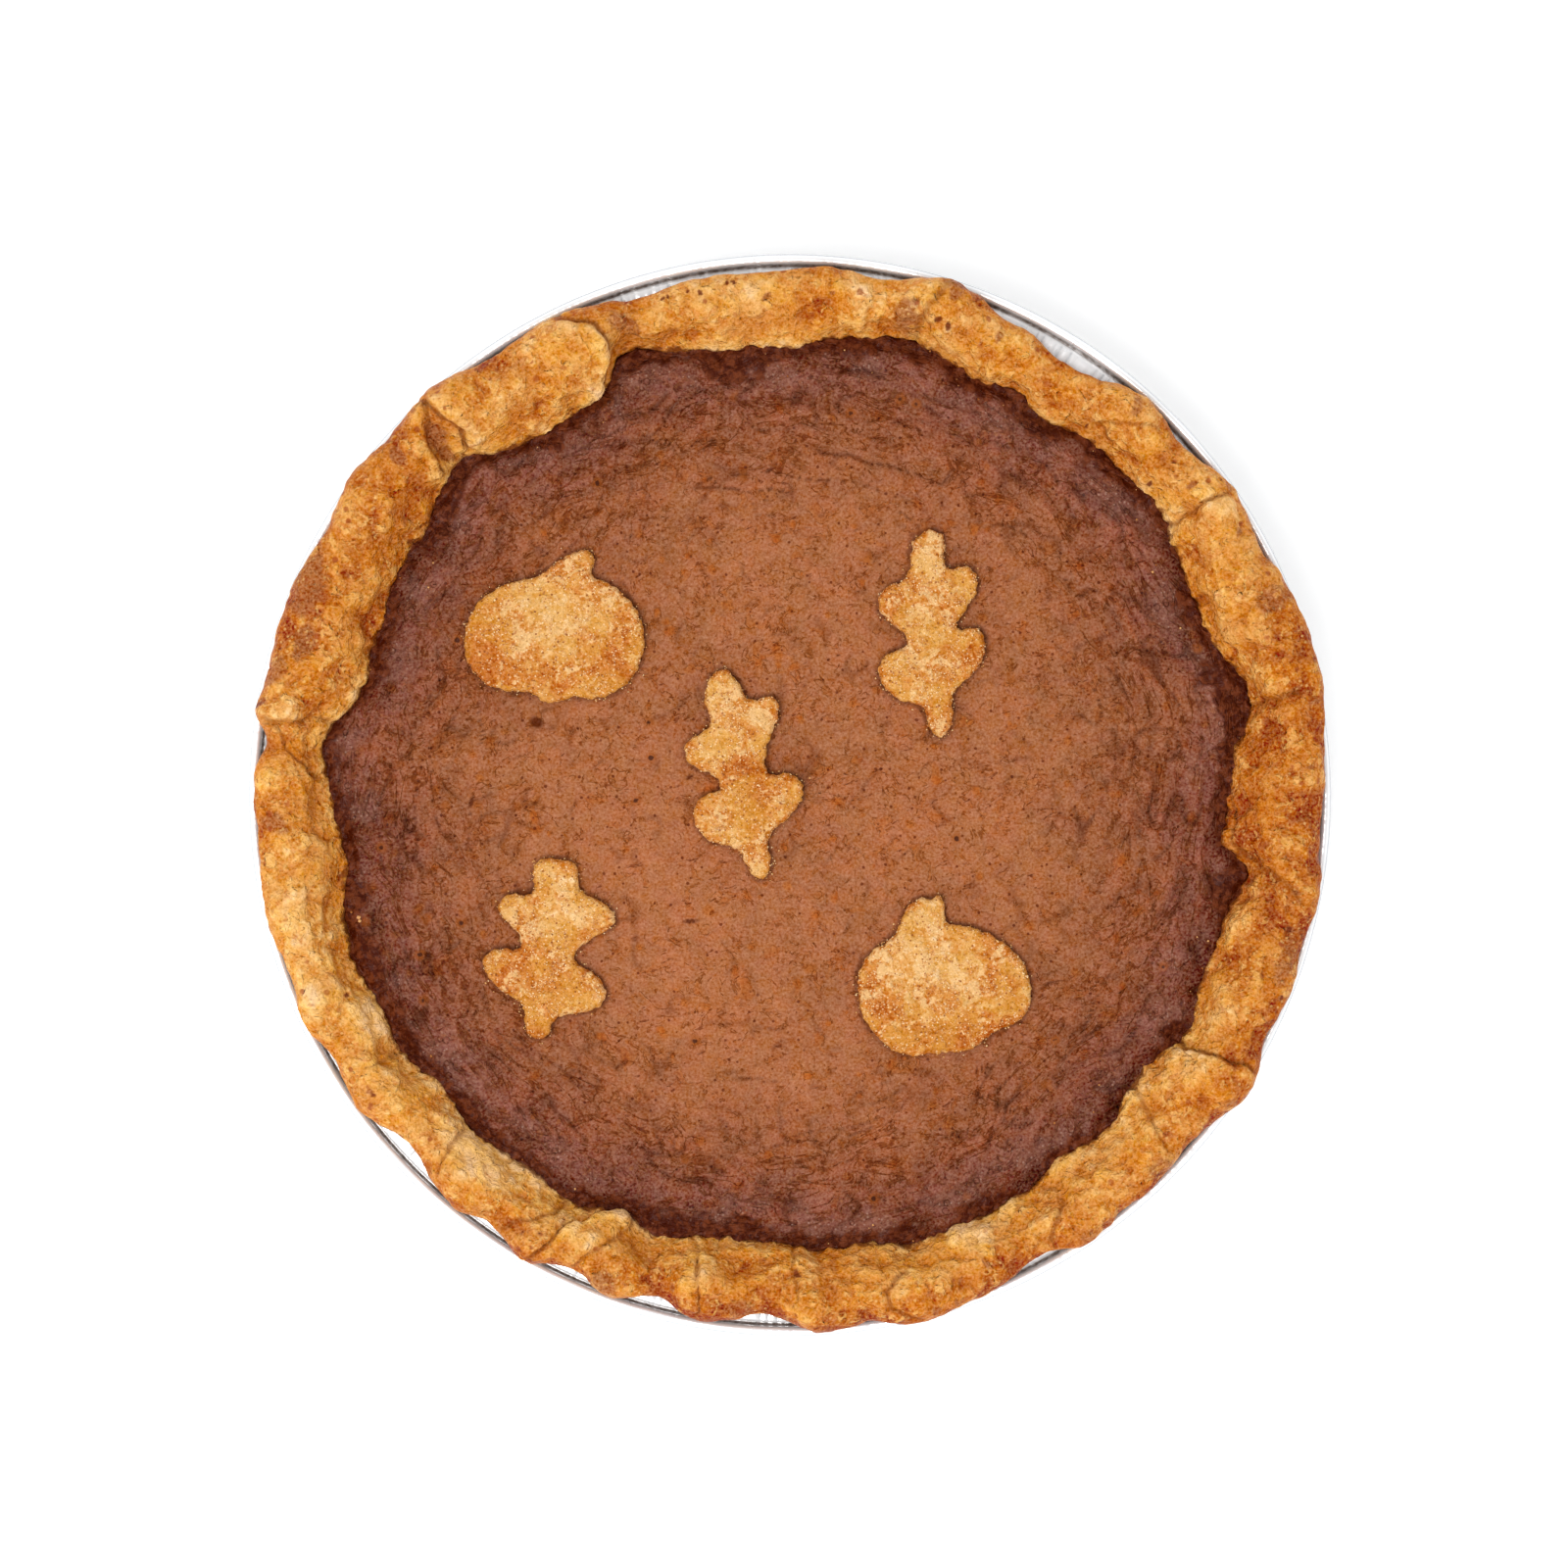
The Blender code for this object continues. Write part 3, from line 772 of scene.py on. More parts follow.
def discGrid(side):
    # Square to disc: the longer coordinate is the radius, and the shorter over the longer
    # times an eighth of a turn is the angle from its axis.
    a, b = np.meshgrid(np.linspace(-1, 1, side + 1), np.linspace(-1, 1, side + 1))
    wide = np.abs(a) > np.abs(b)
    safeA, safeB = np.where(a == 0, 1, a), np.where(b == 0, 1, b)
    radius = np.where(wide, a, b)
    turn = np.where(wide, np.pi / 4 * b / safeA, np.pi / 2 - np.pi / 4 * a / safeB)
    turn = np.where((a == 0) & (b == 0), 0, turn)
    turn = np.where(radius < 0, turn + np.pi, turn) % (2 * np.pi)
    return np.abs(radius), turn


def scatterBumps(x, y, count, low, high, reachLimit, seed):
    # Slightly oval bells of random size at random places on the disc; the highest counts.
    rng = np.random.default_rng(seed)
    best = np.zeros(x.shape)
    middle = reachLimit * np.sqrt(rng.random(count))
    turn = rng.random(count) * 2 * np.pi
    size = low + (high - low) * rng.random(count)
    for r, a, s, lean in zip(middle, turn, size, rng.random(count) * np.pi):
        dx, dy = x - r * np.cos(a), y - r * np.sin(a)
        close = (np.abs(dx) < 3 * s) & (np.abs(dy) < 3 * s)
        u = dx[close] * np.cos(lean) + dy[close] * np.sin(lean)
        v = dy[close] * np.cos(lean) - dx[close] * np.sin(lean)
        best[close] = np.maximum(best[close], np.exp(-(u**2 + 1.8 * v**2) / s**2))
    return best


# Pits and slits in the custard, painted dark as shade: x, y, half length, half width in mm, turn
# in degrees and depth in mm.
fillingPits = (
    (-57.2, 16.5, 1.6, 1.2, -30, 0.6), (-71.9, -1.6, 1.5, 0.5, 70, 0.4),
    (-22.4, -28.4, 1.9, 0.5, 2, 0.4), (-22.6, 4.1, 0.8, 0.6, 30, 0.35),
)
# Orange lumps: x, y, half length, half width in mm and turn in degrees.
fillingLumps = (
    (-18.4, -26.1, 1.8, 1.5, -30), (-0.6, -20.4, 1.3, 1.2, 0), (4.6, -39.2, 2, 1.2, 0),
    (-28.9, -53.5, 1.9, 1.1, -50), (-9.5, -22.6, 1.5, 0.9, -40), (10, -23.5, 1.4, 1, -50),
)


def ovalBell(x, y, middleX, middleY, long, short, lean):
    # 1 in the middle of a turned oval given in mm and degrees, falling off as a bell.
    dx, dy, a = x / mm - middleX, y / mm - middleY, math.radians(lean)
    u, v = dx * math.cos(a) + dy * math.sin(a), dy * math.cos(a) - dx * math.sin(a)
    return bell(u / long, v / short)


def besideCutouts(x, y):
    # 1 at each cut-out's outline, falling to 0 over the next two millimetres.
    beside = np.zeros_like(x)
    for name in cutoutNodes:
        (lowX, lowY, _), (highX, highY, _) = np.array(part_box(name)) + ([-3 * mm], [3 * mm])
        close = (x > lowX) & (x < highX) & (y > lowY) & (y < highY)
        beside[close] = smoothStep(-1.9, -0.2, insideDistance(x[close], y[close], outlineOf(name)) / mm)
    return beside


def stretchedRound(flat):
    # Each point's direction on a circle of 46 mm, with its radius as height, bent by slow noise:
    # noise read there is drawn out round the pie.
    radius = np.hypot(flat[:, 0], flat[:, 1])
    rolled = flat * (46 * mm / (radius[:, None] + 1e-6))
    rolled[:, 2] = radius * 1.25
    return rolled + 2.4 * mm * vectorNoise(flat, 12 * mm, 1)


def wrinkleLines(flat, rolled, outer, gap):
    # Thin lines, each kind only where another noise is high: round the pie near the crust, short
    # ones anywhere, and longer ones, a few cm each, well in from the crust.
    ringLines = thinLines(rolled, 6 * mm, 0.08, 90) * patches(flat, 9 * mm, 91, -0.1, 0.25)
    shortLines = thinLines(flat, 8 * mm, 0.07, 92) * patches(flat, 8 * mm, 93, 0, 0.3)
    longLines = thinLines(rolled * (0.42, 0.42, 0.8), 6 * mm, 0.03, 94)
    longLines *= patches(flat, 13 * mm, 95, -0.05, 0.15) * smoothStep(46, 30, gap) * smoothStep(4, 9, gap)
    return ringLines * (0.15 + 0.85 * outer), shortLines, longLines


def darkBand(x, y, gap):
    # 1 beside the crust and 0 further in, with an edge that noise, one thin side and a few bays move.
    narrowest, half, less = filling["narrowest"]
    turned = np.degrees(np.arctan2(y, x)) % 360
    edge = gap + filling["bandWander"] * cloudNoise(levelPoints(x, y), 10 * mm, 97)
    edge += less * bell((turned - narrowest) / half)
    for middle, half in filling["burntBays"]:
        edge -= filling["bayReach"] * bell((turned - middle) / half)
    return smoothStep(*filling["band"], edge)


def fillingRelief(x, y, gap):
    # Height in mm above the level top, and the values for the material. gap is the
    # distance from the crust in mm.
    flat = levelPoints(x, y)
    rolled = stretchedRound(flat)
    lift = sum(tall * softNoise(flat, cell * mm, seed) for cell, tall, seed in filling["swells"])
    cell, tall = filling["lumps"]
    lift += tall * cloudNoise(flat, cell * mm, 82, 3, 0.6)
    outer = smoothStep(42, 8, gap)
    ringLines, shortLines, longLines = wrinkleLines(flat, rolled, outer, gap)
    for depth, lines in zip(filling["wrinkleDepths"], (ringLines, shortLines, longLines)):
        lift -= depth * lines
    cell, tall = filling["rolls"]
    lift += tall * outer * cloudNoise(rolled, cell * mm, 96)
    blobs = scatterBumps(x / mm, y / mm, filling["blobs"], *filling["blobSize"], filling["blobReach"], 21)
    for lump in fillingLumps:
        blobs = np.maximum(blobs, ovalBell(x, y, *lump))
    # a low oval ring, and a soft double ridge
    ring = bell((np.hypot((x / mm + 3.2) / 3.9, (y / mm - 29.7) / 2.1) - 1) / 0.25)
    ridge = bell((x / mm + 10.9 - 0.2 * (y / mm + 42)) / 0.9) * smoothStep(7, 4, np.abs(y / mm + 43))
    lift += 0.32 * blobs + 0.25 * ring + 0.35 * ridge
    pits = [ovalBell(x, y, *place) for *place, _ in fillingPits]
    lift -= sum(place[-1] * pit for place, pit in zip(fillingPits, pits))
    nearCrust = darkBand(x, y, gap)
    lift += 0.6 * nearCrust * cloudNoise(flat, 3 * mm, 98, 3, 0.6)
    lift -= filling["edgeDrop"] * smoothStep(4, 0, gap)
    beside = besideCutouts(x, y)
    lift -= filling["moat"] * beside
    return lift, {
        "nearCrust": nearCrust, "wrinkle": np.clip(ringLines + 0.6 * shortLines + longLines, 0, 1),
        "blob": np.maximum(blobs, 0.6 * ring), "pinhole": np.max(pits, axis=0), "outer": outer,
        "gapShare": np.clip(gap / 50, 0, 1), "height": 0.5 + 0.5 * lift, "beside": beside, "rolled": rolled}


def makeFilling():
    # The disc grid, raised by its relief and closed by a wall and a floor.
    side = filling["side"]
    share, turn = (array.ravel() for array in discGrid(side))
    border = borderRadius(turn)
    radius = share * (border + filling["overlap"] * mm)
    top = onCircle(turn, radius)
    lift, values = fillingRelief(top[:, 0], top[:, 1], (border - radius) / mm)
    top[:, 2] = fillingTop + lift * mm
    index = np.arange((side + 1) ** 2).reshape(side + 1, side + 1)
    # below the top, a wall runs down to a narrower floor
    loop = np.concatenate((index[0, :-1], index[:-1, -1], index[-1, :0:-1], index[:0:-1, 0]))
    floorRadius, floorHeight = filling["floor"]
    wall = onCircle(turn[loop], radius[loop] - 1 * mm) + (0, 0, filling["wallFoot"] * mm)
    floor = onCircle(turn[loop], floorRadius * mm) + (0, 0, floorHeight * mm)
    wallLoop = len(top) + np.arange(len(loop))
    floorLoop = wallLoop + len(loop)
    pole = np.full(len(loop), floorLoop[-1] + 1)
    points = np.concatenate((top, wall, floor, [[0, 0, floorHeight * mm]]))
    quads = np.concatenate((gridCells(index), joinLoops(loop, wallLoop), joinLoops(wallLoop, floorLoop)))
    tris = np.stack((np.roll(floorLoop, -1), floorLoop, pole), -1)
    material = fillingMaterial()
    piece = makePiece("custard_filling", points, quads, tris, material, "pumpkin_filling", ("filling",))
    addValues(piece, **values)


def fillingMaterial():
    # Custard, orange in the middle and brown at the crust, with lumps, wrinkles and specks over it.
    material = startMaterial("pumpkinCustard", 0.42, specular=0.06)
    nearCrust, wrinkle, blob, pinhole, gapShare, outer, height, beside = (readValues(name) for name in (
        "nearCrust", "wrinkle", "blob", "pinhole", "gapShare", "outer", "height", "beside"))
    rolled = readValues("rolled", "Vector")
    broad = noise(26, 2, 0.5)
    cloudy = noise(5.8, 3, 0.55, 0.6)
    fine = noise(1.6, 2, 0.6)
    grain = noise(0.6, 1, 0.7)
    streaks = noise(4.2, 2, 0.5, 0.5, place=rolled)

    # darker towards the crust
    depth = total(gapShare, wobble(broad, 0.25), wobble(cloudy, 0.12))
    making["colour"] = colourRamp(depth, filling["colours"])
    # pale and greyish in places, orange in others, and here and there redder
    hue = spread(noise(3, 3, 0.65, 0.7), 0.36, 0.66)
    glaze(blendColour(hue, (1, 1.05, 1.2), (1, 0.945, 0.78)))
    rosy = spread(cloudy, 0.35, 0.65)
    glaze(blendColour(rosy, (0.985, 1.015, 0.985), (1.02, 0.98, 1.015)))
    # painted shade: the streaks near the crust and the relief further in are darker in their hollows and
    # paler on their tops
    streakShade = times(wobble(streaks, 0.72), spread(outer, 0, 1, 0.1, 1))
    reliefShade = times(wobble(height, 0.74), spread(outer, 0, 1, 1, 0.45))
    glaze(total(1, wobble(fine, 0.18), streakShade, reliefShade))
    # painted glints and tiny shadows
    glintAndShadeSpeckle(grain, (0.3, 0.2, 0.14))

    # orange lumps with a dark, broken outline
    lump = total(noise(4.2, 3, 0.6, 0.9), times(blob, 0.16))
    broken = spread(fine, 0.42, 0.6)
    outline = times(near(lump, 0.6, 0.03, 0.004), broken)
    glaze((0.98, 0.8, 0.42), spread(lump, 0.585, 0.67, 0, 0.75))
    glaze((0.97, 0.76, 0.26), spread(blob, 0.25, 0.75, 0, 0.75))
    # broken arcs in the middle, wrinkles that run round nearer the crust, short dashes anywhere
    patchy = spread(noise(11, 1), 0.42, 0.56)
    arcs = hairLines(8.5, 0.02, times(patchy, broken), 3, 1.4)
    around = times(spread(outer, 0, 0.6), spread(noise(7, 1), 0.34, 0.5))
    furrows = hairLines(5, 0.045, times(around, spread(fine, 0.3, 0.55)), 3, 0.8, place=rolled)
    dashes = noise(1.1, 2, 0.6, 0.5, place=drawnOut(3, 0.35))
    dashes = times(spread(dashes, 0.64, 0.72), spread(cloudy, 0.48, 0.6, 0.1, 1))
    halo = larger(larger(arcs, furrows), times(outline, 0.8))
    glaze((0.76, 0.57, 0.2), spread(halo, 0, 0.7, 0, 0.85))
    dark = larger(spread(halo, 0.5, 1, 0, 0.55), times(dashes, 0.8))
    glaze((0.42, 0.22, 0.05), dark)
    glaze((0.46, 0.29, 0.12), times(wrinkle, 0.7))
    # fine dark specks, and a few larger ones with an orange rim
    speck = spread(total(cells(2.2), wobble(fine, 0.16)), 0.19, 0.11, 0, 0.9)
    glaze((0.38, 0.18, 0.04), times(speck, someCells(2.2, 0.52, 0.57)))
    spot = total(cells(9), wobble(fine, 0.12))
    rare = someCells(9, 0.52, 0.56)
    paint((0.27, 0.066, 0.008), times(spread(spot, 0.2, 0.08, 0, 0.6), rare))
    paint((0.045, 0.009, 0.004), times(spread(spot, 0.085, 0.05, 0, 0.9), rare))
    # painted sheen and tiny painted glints a little way in from the crust
    sheenBand = times(spread(gapShare, 0.02, 0.07), spread(gapShare, 0.26, 0.12))
    sheenBand = times(sheenBand, spread(noise(9, 2), 0.45, 0.6))
    glint = times(spread(cells(1.1), 0.3, 0.12), sheenBand)
    paint((0.23, 0.11, 0.085), times(sheenBand, 0.22))
    paint((0.42, 0.26, 0.2), times(glint, 0.45))
    # outlines of burst bubbles
    bubble = calc("ABSOLUTE", total(cells(2.4), -0.3, wobble(fine, 0.12)))
    bubble = times(spread(bubble, 0.07, 0.02), times(sheenBand, someCells(2.4, 0.48, 0.54)))
    glaze((0.5, 0.3, 0.2), times(bubble, 0.65))
    # dark and wet where it boiled against the crust, and painted shadow in the gaps round the cut-outs
    sticky = noise(1.7, 3, 0.62, 0.5)
    caramel = blendColour(spread(sticky, 0.4, 0.66), (0.046, 0.0045, 0.0002), (0.14, 0.031, 0.009))
    wet = total(nearCrust, wobble(fine, 0.3), wobble(sticky, 0.9), wobble(cloudy, 0.8))
    paint(caramel, spread(wet, 0.3, 0.75, 0, 0.92))
    shadow = total(beside, wobble(fine, 0.7), wobble(cloudy, 1.6))
    paint((0.115, 0.03, 0.008), spread(shadow, 0.45, 1.2, 0, 0.6))
    # painted shade in the pits and slits
    paint((0.09, 0.014, 0), spread(pinhole, 0.1, 0.7, 0, 0.95))
    wire(making["colour"], "Base Color")
    wire(spread(outer, 0, 1, 0.45, 0.3), "Roughness")
    addRelief((streaks, 0.6, 1.4), (cloudy, 0.5, 1.2), (larger(halo, dashes), 0.6, -0.5), (blob, 0.5, 0.4),
              (bubble, 0.7, 0.4), (fine, 0.4, 0.5), (grain, 0.6, 0.2))
    return material


makeFilling()


# Cut-outs

cutout = {
    "cell": 0.42 * mm,
    "round": 1.1,             # mm, rounding of the top edge
    "wallShare": 0.55,        # of the thickness that stands upright at the side
    "sink": 0.35 * mm,        # how far the underside settles into the custard
    "ragged": 0.42 * mm,      # how far the cut edge wanders
    "swell": (8, 0.3),        # mm, cell and height of slow bumps, and of small lumps
    "lumps": (3.2, 0.26),
    "gritCell": 1.05,         # mm, sugar fused into the surface
    "grit": 0.62,
    "seed": 200,              # of the first one's noise, and how far apart the others' are
    "seedStep": 17,
    # from dark baked to sugary
    "colours": ((0, (0.39, 0.098, 0.01)), (0.15, (0.47, 0.142, 0.02)), (0.34, (0.53, 0.19, 0.035)),
                (0.5, (0.59, 0.255, 0.058)), (0.66, (0.63, 0.31, 0.09)),
                (0.85, (0.71, 0.41, 0.16)), (1, (0.8, 0.54, 0.29))),
}

# For each cut-out, where it is browner or paler: middle x and y and half lengths as
# shares of its box, then strength, negative for browner.
cutoutShades = {
    "pumpkin_cutout_left": (
        (0.08, 0.42, 0.14, 0.3, -0.5), (0.86, 0.24, 0.2, 0.24, -0.5), (0.14, 0.2, 0.16, 0.16, -0.4),
        (0.62, 0.86, 0.14, 0.14, -0.2), (0.42, 0.5, 0.3, 0.26, 0.35), (0.66, 0.66, 0.2, 0.14, 0.25)),
    "pumpkin_cutout_right": (
        (0.3, 0.62, 0.24, 0.22, 0.45), (0.56, 0.5, 0.16, 0.16, 0.4), (0.45, 0.9, 0.12, 0.12, 0.3),
        (0.55, 0.1, 0.3, 0.13, -0.5), (0.8, 0.42, 0.16, 0.2, -0.2), (0.14, 0.3, 0.14, 0.2, -0.25)),
    "leaf_cutout_upper": (
        (0.5, 0.86, 0.2, 0.12, 0.3), (0.5, 0.62, 0.2, 0.1, 0.2), (0.34, 0.3, 0.26, 0.1, 0.2),
        (0.6, 0.06, 0.14, 0.08, -0.4), (0.86, 0.42, 0.16, 0.1, -0.3), (0.12, 0.66, 0.12, 0.08, -0.2)),
    "leaf_cutout_centre": (
        (0.3, 0.86, 0.18, 0.1, 0.35), (0.62, 0.76, 0.2, 0.08, 0.3), (0.24, 0.58, 0.2, 0.08, 0.35),
        (0.5, 0.5, 0.22, 0.06, -0.5), (0.56, 0.34, 0.16, 0.12, -0.45), (0.3, 0.24, 0.2, 0.08, 0.3),
        (0.84, 0.38, 0.14, 0.08, 0.2), (0.62, 0.05, 0.12, 0.06, 0.2)),
    "leaf_cutout_lower": (
        (0.6, 0.86, 0.2, 0.12, 0.35), (0.6, 0.66, 0.3, 0.08, 0.35), (0.24, 0.4, 0.24, 0.1, -0.5),
        (0.6, 0.3, 0.2, 0.1, -0.2), (0.5, 0.06, 0.14, 0.08, -0.3), (0.8, 0.2, 0.16, 0.08, 0.2)),
}


def raggedDepth(x, y, edges, seed):
    # Distance inside the outline, less or more a little noise.
    ragged = cutout["ragged"] * cloudNoise(levelPoints(x, y), 1.7 * mm, seed + 5, 2, 0.7)
    return insideDistance(x, y, edges) + ragged


def cutoutTop(x, y, depth, low, thick, seed):
    # A flat biscuit: full thickness inside, a quarter-ellipse shoulder near the outline,
    # plus a slow swell, small lumps and the grit of fused sugar.
    flat = levelPoints(x, y)
    shoulder = np.clip(depth / (cutout["round"] * mm), 0, 1)
    arch = np.sqrt(1 - (1 - shoulder) ** 2)
    height = thick * (cutout["wallShare"] + (1 - cutout["wallShare"]) * arch)
    (swellCell, swell), (lumpCell, lump) = cutout["swell"], cutout["lumps"]
    bumps = swell * softNoise(flat, swellCell * mm, seed)
    bumps += lump * cloudNoise(flat, lumpCell * mm, seed + 1, 2)
    gritty = patches(flat, 6 * mm, seed + 3, -0.35, 0.2)
    grit = cutout["grit"] * gritty * (0.55 - cellNoise(flat, cutout["gritCell"] * mm, seed + 4))
    return low + height + (bumps + grit) * mm * (0.3 + 0.7 * arch) - 0.12 * mm


def oddFirst(tris, odd):
    # Turns each triangle until its one odd corner stands first.
    order = (np.argmax(odd, axis=1)[:, None] + np.arange(3)) % 3
    return np.take_along_axis(tris, order, axis=1)


def clipGrid(x, y, depth):
    # Splits grid cells into triangles and cuts them where depth passes through zero, with
    # one shared new point on each cut grid edge. Returns points, triangles and rim edges.
    quads = gridCells(np.arange(depth.size).reshape(depth.shape))
    tris = np.concatenate((quads[:, :3], quads[:, (0, 2, 3)]))
    value = depth.ravel()
    inside = value[tris] > 0
    count = inside.sum(axis=1)
    points = np.stack((x.ravel(), y.ravel()), -1)
    two = oddFirst(tris[count == 2], ~inside[count == 2])
    one = oddFirst(tris[count == 1], inside[count == 1])
    cutEdges = np.concatenate((two[:, (0, 1)], two[:, (0, 2)], one[:, (0, 1)], one[:, (0, 2)]))
    unique, back = np.unique(np.sort(cutEdges, axis=1), axis=0, return_inverse=True)
    start, end = unique.T
    t = np.clip(value[start] / (value[start] - value[end]), 0.04, 0.96)[:, None]
    cutPoints = points[start] * (1 - t) + points[end] * t
    p, q, r, s = np.split(back.ravel() + len(points), np.cumsum((len(two), len(two), len(one))))
    kept = np.concatenate((
        tris[count == 3],
        np.stack((p, two[:, 1], two[:, 2]), -1),
        np.stack((p, two[:, 2], q), -1),
        np.stack((one[:, 0], r, s), -1),
    ))
    rim = np.concatenate((np.stack((q, p), -1), np.stack((r, s), -1)))
    points = np.concatenate((points, cutPoints))
    used, renamed = np.unique(kept, return_inverse=True)
    return points[used], renamed.reshape(-1, 3), np.searchsorted(used, rim)


def makeCutout(name, material, seed):
    # The grid inside the outline, raised to the biscuit's top. Returns the outline.
    edges = outlineOf(name)
    low, high = (np.array(corner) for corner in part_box(name))
    cell = cutout["cell"]
    x, y = np.meshgrid(*(np.arange(low[axis] - 2 * cell, high[axis] + 2 * cell, cell) for axis in (0, 1)))
    depth = raggedDepth(x.ravel(), y.ravel(), edges, seed).reshape(x.shape)
    flat, tris, rim = clipGrid(x, y, depth)
    base = low[2] - cutout["sink"]
    inner = np.maximum(raggedDepth(*flat.T, edges, seed), 0)
    inner[np.unique(rim)] = 0
    top = cutoutTop(*flat.T, inner, base, high[2] - base, seed)
    # the underside is the same sheet turned over, and the wall joins the two rims
    count = len(flat)
    points = np.concatenate((np.column_stack((flat, top)), np.column_stack((flat, np.full(count, base)))))
    wall = np.column_stack((rim[:, ::-1], rim + count))
    tris = np.concatenate((tris, tris[:, ::-1] + count))
    newName = name.replace("cutout", "biscuit")
    piece = makePiece(newName, points, wall, tris, material, "sugared_pastry", (name,))
    shade = np.zeros(count)
    for middleX, middleY, halfX, halfY, strength in cutoutShades[name]:
        u, v = ((flat - low[:2]) / (high - low)[:2]).T
        shade += strength * bell((u - middleX) / halfX, (v - middleY) / halfY)
    addValues(piece, depth=np.clip(np.concatenate((inner, inner)) / (10 * mm), 0, 1),
              shade=np.concatenate((shade, np.full(count, -0.2))))
    return edges


def cutoutMaterial():
    # Biscuit: lightness picks a colour, then spiced sugar, bare dough, grains and painted glints lie over
    # it.
    material = startMaterial("sugaredPastry", 0.5, specular=0.05)
    depth, shade = readValues("depth"), readValues("shade")
    broad = noise(8, 2, 0.5, 0.5)
    mottle = noise(4.2, 3, 0.6, 0.8)
    fine = noise(1.1, 2, 0.65, 0.4)
    grain = noise(0.5, 2, 0.7)
    puff = cells(3, place=bentPlace(3, 3))
    # painted shade: paler on the raised puffs and darker in the furrows between them
    value = total(0.44, times(shade, 0.8), wobble(broad, 0.6), wobble(mottle, 1.15), wobble(fine, 0.9),
                  spread(puff, 0.05, 0.7, 0.22, -0.16), spread(depth, 0, 0.12, -0.05, 0.03))
    making["colour"] = colourRamp(value, cutout["colours"])
    # spiced sugar lies in rusty patches, bare dough shows cream between them
    ragged = wobble(fine, 0.4)
    dusted = total(noise(4.6, 3, 0.65, 1.2), ragged, times(shade, -0.12))
    paint((0.525, 0.172, 0.033), spread(dusted, 0.48, 0.58, 0, 0.7))
    bare = total(noise(4.6, 2, 0.6, 0.8), ragged, times(shade, 0.14))
    paint((0.735, 0.46, 0.198), spread(bare, 0.53, 0.64, 0, 0.8))
    paint((0.6, 0.29, 0.05), spread(broad, 0.42, 0.62, 0, 0.5))
    # painted glints and tiny shadows
    glintAndShadeSpeckle(grain, (0.44, 0.31, 0.2))
    glintAndShadeSpeckle(fine, (0.18, 0.13, 0.09))
    spice = times(spread(cells(1.3), 0.26, 0.14, 0, 0.85), someCells(1.3, 0.52, 0.56))
    paint((0.24, 0.06, 0.01), spice)
    # pale sugar crystals that are also painted glints
    paint((0.9, 0.64, 0.38), spread(cells(1.1), 0.27, 0.12, 0, 0.5))
    wire(making["colour"], "Base Color")
    addRelief((mottle, 0.7, 0.8), (puff, 0.6, -0.6), (cells(1), 0.6, -0.3), (fine, 1, 0.5),
              (grain, 0.9, 0.3))
    return material


pastry = cutoutMaterial()
cutoutSeeds = {name: cutout["seed"] + cutout["seedStep"] * number for number, name in enumerate(cutoutNodes)}
cutoutEdges = {name: makeCutout(name, pastry, cutoutSeeds[name]) for name in cutoutNodes}


# Foil tin

tin = {
    "columns": 1440,
    "pleats": 108,
    "crimps": 430,
    "pleatDepth": 0.34,       # mm
    "crimpDepth": 0.16,       # mm
    "noiseCircle": 115,       # mm, radius at which the pleats' noise is read
}


def tinProfile():
    # Radius, height, pleat share, crimp share and 1 on the upper side, from the middle of the floor
    # over the wall, flange and rolled edge to the underside; a circle makes the roll.
    inside = [
        (40, 0.35, 0, 0), (80, 0.35, 0, 0), (88.6, 0.4, 0, 0), (90.6, 0.8, 0.2, 0),
        (92, 2.4, 0.7, 0), (97, 9, 1, 0), (102, 15.8, 1, 0), (107, 22.6, 0.9, 0),
        (110.6, 27.3, 0.7, 0), (112.4, 29.5, 0.35, 0.1), (113.4, 30.2, 0, 0.4),
        (114.4, 30.4, 0, 0.8), (115.4, 30.5, 0, 1), (116.4, 30.55, 0, 1), (117.4, 30.6, 0, 1),
        (118.2, 30.65, 0, 1), (118.6, 30.55, 0, 0.7), (118.85, 30.25, 0, 0.4),
        (119.15, 30.15, 0, 0.3), (119.45, 30.25, 0, 0.4), (119.65, 30.7, 0, 0.5),
    ]
    a = np.radians(np.linspace(160, -140, 13))
    roll = np.stack((120.85 + 1.12 * np.cos(a), 30.85 + 1.1 * np.sin(a), 0 * a, 0 * a + 0.35), -1)
    outside = [
        (119.6, 29.75, 0, 0.3), (118.9, 29.8, 0, 0.3), (118.2, 30.25, 0, 1), (116.8, 30.2, 0, 1),
        (115, 30.1, 0, 1), (113.6, 29.85, 0, 0.5), (112.8, 29.2, 0.35, 0.1),
        (111, 26.95, 0.7, 0), (107.4, 22.3, 0.9, 0), (102.4, 15.5, 1, 0), (97.4, 8.7, 1, 0),
        (92.4, 2, 0.7, 0), (91.2, 0.5, 0.2, 0), (90.3, 0.05, 0, 0), (88.8, 0, 0, 0),
        (80, 0, 0, 0), (40, 0, 0, 0),
    ]
    profile = np.concatenate((inside, roll, outside))
    return np.column_stack((profile, np.arange(len(profile)) < 22)).T[..., None]


